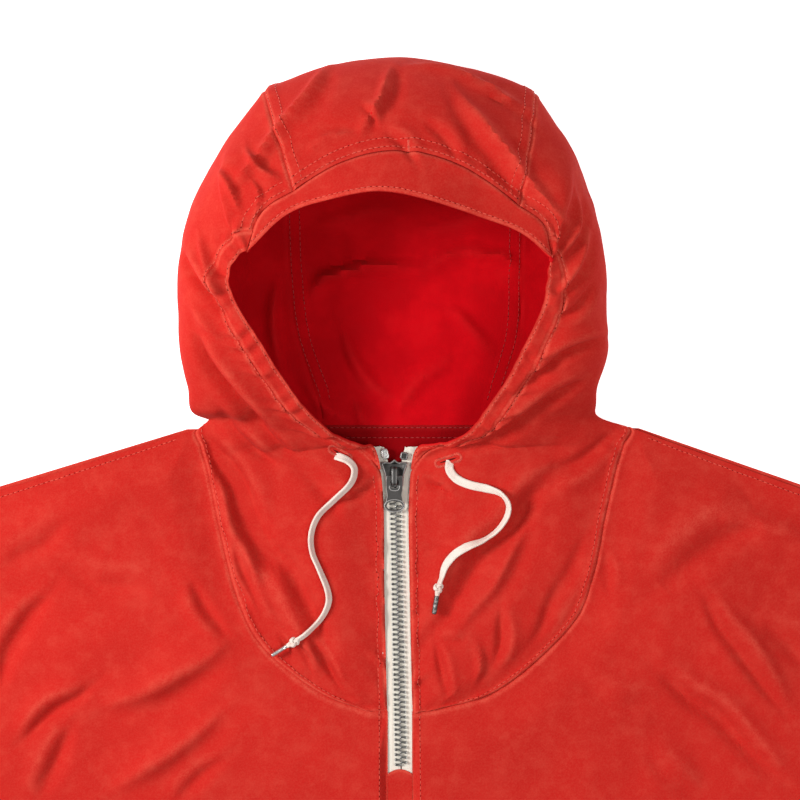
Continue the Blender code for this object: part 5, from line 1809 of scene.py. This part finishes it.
def build_teeth():
    """Two rows of teeth that mesh down the zip's middle."""
    hardware = bpy.context.scene.anorak_hardware
    pitch = hardware.tooth_pitch / MM
    groups = []
    for side, shift in ((-1, 0.0), (1, pitch / 2)):
        y = np.arange(SLIDER_END - 1.3 - shift, ZIP_END + 4.8, -pitch)
        x = np.array([zip_x(v) for v in y]) + side * 1.75
        here = np.column_stack([x, y + 0.08 * line_noise(y, 2.1, 61 + side), np.full(len(y), 4.12)])
        ahead = np.column_stack([np.full(len(y), -side), 0.05 * line_noise(y, 1.7, 63 + side),
                                 np.zeros(len(y))])
        groups.append((here, ahead, np.tile([0, 0, 1.0], (len(y), 1))))
    tooth = tooth_piece(2.1)
    teeth = repeat_pieces("zip_teeth", groups, tooth, (MM, MM, MM), tooth_metal(), 0.04, 5)
    bpy.data.objects.remove(tooth)
    finished(teeth, tooth_metal(), "garment", "zip_metal", "zip_chain")


def rounded_outline(points, passes=2, cut=0.2):
    """A closed outline with its corners cut smooth."""
    points = np.array(points, float)
    for _ in range(passes):
        after = np.roll(points, -1, axis=0)
        points = np.stack([(1 - cut) * points + cut * after, cut * points + (1 - cut) * after], axis=1)
        points = points.reshape(-1, 2)
    return points


STOP_GROWTH = 1.24        # the clamp as it looks, beside the part's plain solid


def build_stop(name, x, y, width, length, turn, material, slot):
    """A top stop: a metal clamp bent over the tape's edge."""
    a, b = STOP_GROWTH * width / 2, STOP_GROWTH * length / 2
    outline = rounded_outline(((-a, -b), (a, -b), (a, b), (-a, b)), 2)
    place = np.array([x, y, 0])
    body = plate(outline, ((0.3, 4.35, 0.0), (0, 4.6, 0.1), (0, 5.7, 0.3), (0.22, 6.25, 1.0),
                           (0.6, 6.5, 0.5), (1.0, 6.5, 0.25), (1.3, 6.25, 0.0)), place, turn)
    mesh_object = join_shapes(name + "_clamp", [body])
    finished(mesh_object, material, "garment", slot, name)


def build_slider():
    """The slider's body and the bridge that its pull hangs on."""
    half = list(SLIDER_OUTLINE)
    outline = rounded_outline(half + [(-x, y) for x, y in half[:0:-1]], 2, 0.11)
    place = np.array([ZIP_TOP_X, (SLIDER_TOP + SLIDER_END) / 2, 0])
    body = plate(outline, ((0.4, 4.4, 0.0), (0, 4.7, 0.1), (0, 6.9, 0.25), (0.18, 7.45, 1.0),
                           (0.55, 7.75, 0.85), (0.95, 7.75, 0.10), (1.35, 7.5, 0.02)), place)
    rail = smooth_rows(((-4.9, 7.2), (-4.9, 9.6), (-4.4, 10.9), (-3.2, 11.45), (1.0, 11.5), (4.2, 11.45),
                        (5.4, 10.9), (5.9, 9.6), (5.9, 7.2)), 6)
    path = np.column_stack([np.full(len(rail), ZIP_TOP_X), rail[:, 0] + PULL_AXIS[1], rail[:, 1]])
    bridge = round_bar(path, 1.75, 0.72, 0.5, (1, 0, 0))
    slider = join_shapes("zip_slider_body", [body, bridge])
    finished(slider, aged_metal(), "garment", "slider_metal", "zip_slider")


def oval(middle_y, half_width, half_height, start, end, count):
    turns = np.linspace(start, end, count)
    return [(half_width * math.cos(t), middle_y + half_height * math.sin(t)) for t in turns]


def build_pull():
    """The pull tab: a bevelled plate with an eye round the bridge and an oval window."""
    half = list(spaced(smooth_rows(PULL_HALF_OUTLINE, 6), np.linspace(0, 1, 22)))
    ring = oval(*PULL_RING, math.radians(40), math.radians(-220), 48)
    shape = [tuple(p) for p in half] + ring + [(-x, y) for x, y in half[::-1]]
    window = oval(PULL_RING[0], *PULL_WINDOW, 0, 2 * math.pi, 41)[:-1]
    eye_half, eye_start, eye_end = PULL_EYE
    eye = rounded_outline(((-eye_half, eye_start), (eye_half, eye_start), (eye_half, eye_end),
                           (-eye_half, eye_end)), 3).tolist()
    data = bpy.data.curves.new("pull_shape", "CURVE")
    data.dimensions = "2D"
    data.fill_mode = "BOTH"
    bevel = 0.28
    data.bevel_depth = bevel * MM
    data.bevel_resolution = 2
    data.offset = -bevel * MM
    data.extrude = (0.6 - bevel) * MM
    for outline in (shape, window, eye):
        spline = data.splines.new("POLY")
        spline.points.add(len(outline) - 1)
        for point, (x, y) in zip(spline.points, outline):
            point.co = (x * MM, y * MM, 0, 1)
        spline.use_cyclic_u = True
    curve = new_object("pull_shape", data)
    graph = bpy.context.evaluated_depsgraph_get()
    made = bpy.data.meshes.new_from_object(curve.evaluated_get(graph))
    bpy.data.objects.remove(curve)
    points = np.array([v.co for v in made.vertices]) / MM
    faces = [tuple(face.vertices) for face in made.polygons]
    rub = np.where(np.abs(np.abs(points[:, 2]) - 0.5) < 0.09, 0.9, 0.06)
    bpy.data.meshes.remove(made)
    rim = np.array(oval(PULL_RING[0], PULL_RING[1] - 0.5, PULL_RING[2] - 0.45, 0, 2 * math.pi, 73))
    lip = np.array([(3.3, -5.6), (3.2, -7.1), (2.2, -8.4), (0, -8.9), (-2.2, -8.4), (-3.2, -7.1),
                    (-3.3, -5.6)])
    lip = smooth_rows(lip, 6)
    bars = []
    for line, closed in ((rim[:-1], True), (lip, False)):
        path = np.column_stack([line, np.full(len(line), 0.62)])
        if closed:
            ends = np.roll(path, -1, axis=0) - np.roll(path, 1, axis=0)
        else:
            ends = np.gradient(path, axis=0)
        ends = unit(ends)
        beside = np.cross([0, 0, 1.0], ends)
        angle = round_turn(10)
        section = (path[:, None] + beside[:, None] * (0.34 * np.cos(angle))[None, :, None]
                   + np.array([0, 0, 1.0]) * (0.26 * np.sin(angle))[None, :, None])
        bars.append((section.reshape(-1, 3), ring_faces(len(line), len(angle), closed),
                     np.tile(0.35 + 0.65 * np.clip(np.sin(angle), 0, 1), len(line))))
    shapes = [(points, faces, rub)] + bars
    tilt = np.array([[1, 0, 0], [0, math.cos(PULL_TILT), math.sin(PULL_TILT)],
                     [0, -math.sin(PULL_TILT), math.cos(PULL_TILT)]])
    shapes = [(p @ tilt + PULL_AXIS, f, r) for p, f, r in shapes]
    pull = join_shapes("zip_pull_tab", shapes)
    finished(pull, aged_metal(), "pull", "slider_metal", "zip_pull")


def stitch_rows():
    """Every visible row of stitches, by the object that it goes in."""
    held = cut_panels()
    spacing = bpy.context.scene.anorak_stitching.spacing / MM
    rows = {"stitches_hood": [], "stitches_inside": [], "stitches_channel": [], "stitches_front": []}

    def row(group, name, side, inset, first=0, last=None, inner=False):
        surface, normals, _ = held[name]
        line, upright = line_in(surface, normals, side, inset, first, last)
        if len(line) < 3:
            raise RuntimeError("no room for a row of stitches on " + name)
        if inner:
            upright = -upright
        rise = SHELLS.get(name, SHELL) / 2 + 0.1
        rows[group].append(stitched(line, upright, spacing, rise, len(rows[group]) * 7))

    for side in ("left", "right"):
        for inset in (1.7, 8.2):
            row("stitches_hood", "hood_centre", side, inset, 1, 3 * ROWS)
            row("stitches_inside", "hood_centre", side, inset, 3 * ROWS, -4, inner=True)
    for inset in (2.4, 8.4):
        row("stitches_hood", "hood_centre", "start", inset)
        for name in ("hood_side_left", "hood_side_right"):
            row("stitches_hood", name, "start", inset, 8)
    row("stitches_hood", "visor", "right", 2.8)
    yoke = SHOULDER_ROW * ROWS
    for name in ("hood_side_left", "hood_side_right"):
        row("stitches_hood", name, "left", 5.0, yoke, -6)
        row("stitches_front", name, "right", 5.4, ZIP_ROW * ROWS + 7, -10)
        row("stitches_channel", name, "right", 1.2, 6, ZIP_ROW * ROWS - 4)
    for name in ("cord_channel_left", "cord_channel_right"):
        row("stitches_channel", name, "right", 1.8, 4)
    for side in ("start", "end"):
        row("stitches_front", "body_front", side, 4.5, 12, -4)
    hem = np.where(held["body_front"][0][:, -1, 1] < HEM_CORNER[1] + 30)[0]
    row("stitches_front", "body_front", "right", 18.0, hem[0], hem[-1])
    return rows


PLACKET_STITCHES = (
    ((-13.5, -268), (-13.5, -291), (13.5, -291), (13.5, -268), (-13.5, -268)),
    ((-13.3, -174), (-13.5, -266)),
    ((12.8, -174), (13.5, -266)),
)


def placket_stitches(corners, spacing):
    """Stitches along a line seen in plan, on whatever cloth lies beneath it."""
    corners = spaced(np.array(corners, float), np.linspace(0, 1, 61))
    line, upright = [], []
    for x, y in corners:
        height, normal = cloth_at(x, y)
        line.append((x, y, max(height, 5.2)))
        upright.append(normal)
    return stitched(np.array(line), np.array(upright), spacing, 0.15, 41)


def satin(places, ahead, spread, spacing=0.5):
    """Threads laid side by side across a line."""
    line = spaced(places, np.linspace(0, 1, int(arc(places)[-1] / spacing)))
    run = np.gradient(line, axis=0)
    run = unit(run)
    here, heading, up = [], [], []
    for (x, y), (dx, dy) in zip(line, run):
        height, normal = cloth_at(x, y)
        here.append((x, y, height + 0.12))
        heading.append((-dy, dx, 0) if not ahead else (dx, dy, 0))
        up.append(normal)
    heading = np.array(heading, float)
    heading[:, :2] += spread * np.random.default_rng(3).normal(size=(len(heading), 2))
    up = np.array(up, float)
    heading -= up * (heading * up).sum(axis=1, keepdims=True)
    return np.array(here), heading, up


BUTTONHOLES = (("left", -38.5, -18.3, 18.0, -30.0), ("right", 31.0, -22.7, 19.0, 18.0))


def buttonhole_parts(x, y, length, turn):
    """The buttonhole's worked band, as places, and its slit's outline."""
    angle = math.radians(turn)
    spin = np.array([[math.cos(angle), math.sin(angle)], [-math.sin(angle), math.cos(angle)]])
    straight, radius = length / 2 - 3.1, 2.35
    turns = np.linspace(-math.pi / 2, math.pi / 2, 14)
    one = np.column_stack([straight + radius * np.cos(turns), radius * np.sin(turns)])
    band = np.vstack([one, -one, one[:1]]) @ spin + [x, y]
    slit = np.array([(length / 2 - 3.4, 0), (straight * 0.5, 0.5), (-straight * 0.5, 0.5),
                     (-length / 2 + 3.4, 0), (-straight * 0.5, -0.5), (straight * 0.5, -0.5)])
    slit = np.vstack([spaced(np.vstack([slit, slit[:1]]), np.linspace(0, 1, 31))[:-1]]) @ spin + [x, y]
    return band, slit


def slit_shape(slit):
    """The buttonhole's slit, a dark sheet of painted shade let into the cloth."""
    low = [(x, y, cloth_at(x, y)[0] - 0.25) for x, y in slit]
    high = [(x, y, cloth_at(x, y)[0] + 0.10) for x, y in slit]
    return np.array(low + high), ring_faces(2, len(slit)), [0.0] * 2 * len(slit)


# ---------------------------------------------------------------- operators


class PieceOperator:
    bl_options = {"REGISTER", "UNDO"}


class ANORAK_OT_stage(PieceOperator, bpy.types.Operator):
    """Sets the floor, the soft light and a camera that looks straight down"""
    bl_idname = "anorak.stage"
    bl_label = "Floor, light and camera"

    def execute(self, context):
        stage = context.scene.anorak_stage
        context.scene.view_settings.view_transform = "Standard"
        middle = metres((0, FRAME_MIDDLE_Y, 0))
        bpy.ops.mesh.primitive_plane_add(size=9, location=(0, middle[1], -0.0002))
        floor = context.object
        floor.name = "floor"
        paper = Finish("pale_floor", Specular_IOR_Level=0.0)
        tone = paper.noise(6.0, 2.0)
        paper.feed("Base Color", paper.blend(tone, colour_of(stage.floor_colour, 0.99),
                                             tuple(stage.floor_colour)))
        paper.feed("Roughness", paper.spread(tone, 0.3, 0.7, 0.9, 0.78))
        paper.shader.inputs["Emission Color"].default_value = (1, 1, 1, 1)
        paper.shader.inputs["Emission Strength"].default_value = stage.floor_glow
        floor.data.materials.append(paper.material)
        key = bpy.data.objects.new("key_light", bpy.data.lights.new("key_light", "AREA"))
        key.data.energy = stage.key_power
        key.data.shape = "DISK"
        key.data.size = stage.key_size
        key.location = (-1.05, middle[1] + 0.12, 0.95)
        aim = Vector((0.05, middle[1], 0)) - key.location
        key.rotation_euler = aim.to_track_quat("-Z", "Y").to_euler()
        context.scene.collection.objects.link(key)
        fill = bpy.data.objects.new("top_light", bpy.data.lights.new("top_light", "AREA"))
        fill.data.energy = stage.top_power
        fill.data.shape = "DISK"
        fill.data.size = 0.6
        fill.location = (0.42, middle[1] - 0.25, 1.3)
        context.scene.collection.objects.link(fill)
        camera = bpy.data.objects.new("camera", bpy.data.cameras.new("camera"))
        camera.data.sensor_width = 36
        camera.data.lens = 36 * stage.camera_height / stage.frame_width
        camera.location = (0, middle[1], stage.camera_height)
        context.scene.collection.objects.link(camera)
        context.scene.camera = camera
        world = bpy.data.worlds.new("soft_sky")
        world.use_nodes = True
        sky = world.node_tree.nodes["Background"]
        sky.inputs["Color"].default_value = (1, 1, 1, 1)
        sky.inputs["Strength"].default_value = stage.sky
        context.scene.world = world
        return {"FINISHED"}


class ANORAK_OT_drawcords(PieceOperator, bpy.types.Operator):
    """Lays both flat drawcords, with their knots and metal tips"""
    bl_idname = "anorak.drawcords"
    bl_label = "Drawcords"

    def execute(self, context):
        build_drawcord(-1, CORD_LEFT)
        build_drawcord(1, CORD_RIGHT)
        return {"FINISHED"}


class ANORAK_OT_hood(PieceOperator, bpy.types.Operator):
    """Builds the hood's three panels, its visor and the channels along the face opening"""
    bl_idname = "anorak.hood"
    bl_label = "Hood"

    def execute(self, context):
        for name in ("hood_side_left", "hood_side_right", "hood_centre", "visor", "cord_channel_left",
                     "cord_channel_right"):
            panel_piece(name)
        return {"FINISHED"}


class ANORAK_OT_body(PieceOperator, bpy.types.Operator):
    """Builds the front and the back panel"""
    bl_idname = "anorak.body"
    bl_label = "Front and back"

    def execute(self, context):
        CUT["back"] = back_panel()
        panel_piece("body_front", plan=True)
        return {"FINISHED"}


class ANORAK_OT_sleeves(PieceOperator, bpy.types.Operator):
    """Builds both sleeves, laid flat"""
    bl_idname = "anorak.sleeves"
    bl_label = "Sleeves"

    def execute(self, context):
        CUT["sleeves"] = [build_sleeve(-1), build_sleeve(1)]
        return {"FINISHED"}


class ANORAK_OT_zip(PieceOperator, bpy.types.Operator):
    """Builds the zip's tapes, teeth and top stops, and the cloth below its end"""
    bl_idname = "anorak.zip"
    bl_label = "Zip tapes, teeth and stops"

    def execute(self, context):
        build_tape(-1)
        build_tape(1)
        build_teeth()
        build_stop("zip_stop_left", -9.7, -18.6, 4.0, 5.6, math.radians(14), bright_metal(),
                   "stop_metal")
        build_stop("zip_stop_right", 2.7, -20.0, 4.2, 4.2, math.radians(-12), aged_metal(),
                   "zip_metal")
        build_underlay()
        return {"FINISHED"}


class ANORAK_OT_slider(PieceOperator, bpy.types.Operator):
    """Builds the slider and its swinging pull"""
    bl_idname = "anorak.slider"
    bl_label = "Slider and pull"

    def execute(self, context):
        build_slider()
        build_pull()
        return {"FINISHED"}


class ANORAK_OT_stitching(PieceOperator, bpy.types.Operator):
    """Sews every visible row of stitches and both buttonholes"""
    bl_idname = "anorak.stitching"
    bl_label = "Stitching and buttonholes"

    def execute(self, context):
        stitching = context.scene.anorak_stitching
        spacing = stitching.spacing / MM
        rows = stitch_rows()
        for corners in PLACKET_STITCHES:
            rows["stitches_front"].append(placket_stitches(corners, spacing))
        back, back_normals = CUT["back"]
        for inset in (2.5, 9.0):
            line, upright = line_in(back, back_normals, "start", inset, 50, 100)
            rows["stitches_inside"].append(stitched(line, upright, spacing, 0.45, 87))
        rows["stitches_sleeves"] = []
        for surface, normals in CUT["sleeves"]:
            for inset in (24.0, 20.5):
                line, upright = line_in(surface, normals, "end", inset)
                rows["stitches_sleeves"].append(stitched(line, upright, spacing, 0.45, 88))
        thread, hole = thread_piece(), needle_hole()
        size = (stitching.length, stitching.thickness, stitching.thickness * 0.75)
        for name, places in rows.items():
            dyed = thread_finish(name == "stitches_inside")
            sewn = repeat_pieces(name, places, thread, size, dyed, 0.15, 6)
            finished(sewn, dyed, "garment", "shell_cotton")
            # Painted shade: dark lenses set in the dimples between the stitches.
            between = []
            for here, ahead, up in places:
                step = ahead / np.maximum(np.linalg.norm(ahead, axis=1, keepdims=True), 1e-9)
                between.append((here + step * spacing / 2 - up * 0.12, ahead, up))
            holes = repeat_pieces(name.replace("stitches", "needle_holes"), between, hole,
                                  (0.9 * MM, 0.75 * MM, 0.12 * MM), painted_shade_finish(), 0.2, 7)
            finished(holes, painted_shade_finish(), "garment", "shell_cotton")
        for word, x, y, length, turn in BUTTONHOLES:
            band, slit = buttonhole_parts(x, y, length, turn)
            worked_band = repeat_pieces("buttonhole_" + word, [satin(band, False, 0.12)], thread,
                                        (1.9 * MM, 0.5 * MM, 0.5 * MM), thread_finish(), 0.25, 8)
            finished(worked_band, thread_finish(), "garment", "shell_cotton")
            # Painted shade fills the buttonhole's slit.
            opening = join_shapes("buttonhole_slit_" + word, [slit_shape(slit)])
            finished(opening, painted_shade_finish(), "garment", "shell_cotton")
        bartack = satin(np.array([(-0.6, 166.0), (-0.6, 173.0)]), False, 0.05, 0.45)
        centre, centre_normals, _ = cut_panels()["hood_centre"]
        middle = centre.shape[1] // 2
        line = centre[:10, middle]
        along = arc(line)
        at = np.linspace(0.5, min(7.0, along[-1]), len(bartack[0]))
        here = read_at(at, along, line)
        up = centre_normals[2, middle]
        bar = (here + up * 0.5, bartack[1] - np.outer(bartack[1] @ up, up), np.tile(up, (len(here), 1)))
        tack = repeat_pieces("visor_bartack", [bar], thread, (2.2 * MM, 0.5 * MM, 0.5 * MM),
                             thread_finish(), 0.2, 9)
        finished(tack, thread_finish(), "garment", "shell_cotton")
        bpy.data.objects.remove(thread)
        bpy.data.objects.remove(hole)
        return {"FINISHED"}


OPERATORS = (ANORAK_OT_stage, ANORAK_OT_drawcords, ANORAK_OT_hood, ANORAK_OT_body, ANORAK_OT_sleeves,
             ANORAK_OT_zip, ANORAK_OT_slider, ANORAK_OT_stitching)
GROUPS = (("anorak_cloth", AnorakCloth), ("anorak_stitching", AnorakStitching),
          ("anorak_hardware", AnorakHardware), ("anorak_stage", AnorakStage))


class ANORAK_PT_pieces(bpy.types.Panel):
    """Lists the anorak's sizes, colours and build steps"""
    bl_label = "Anorak Pullover"
    bl_idname = "ANORAK_PT_pieces"
    bl_space_type = "VIEW_3D"
    bl_region_type = "UI"
    bl_category = "Anorak"

    def draw(self, context):
        for name, group in GROUPS:
            box = self.layout.box()
            held = getattr(context.scene, name)
            for field in group.__annotations__:
                box.prop(held, field)
        for operator in OPERATORS:
            self.layout.operator(operator.bl_idname)


def register():
    for name, group in GROUPS:
        bpy.utils.register_class(group)
        setattr(bpy.types.Scene, name, bpy.props.PointerProperty(type=group))
    for operator in OPERATORS:
        bpy.utils.register_class(operator)
    bpy.utils.register_class(ANORAK_PT_pieces)


def unregister():
    bpy.utils.unregister_class(ANORAK_PT_pieces)
    for operator in reversed(OPERATORS):
        bpy.utils.unregister_class(operator)
    for name, group in reversed(GROUPS):
        delattr(bpy.types.Scene, name)
        bpy.utils.unregister_class(group)


def main():
    register()
    for operator in OPERATORS:
        step = getattr(bpy.ops.anorak, operator.bl_idname.split(".")[1])
        if step() != {"FINISHED"}:
            raise RuntimeError(operator.bl_label + " wasn't built")


if __name__ == "__main__":
    main()
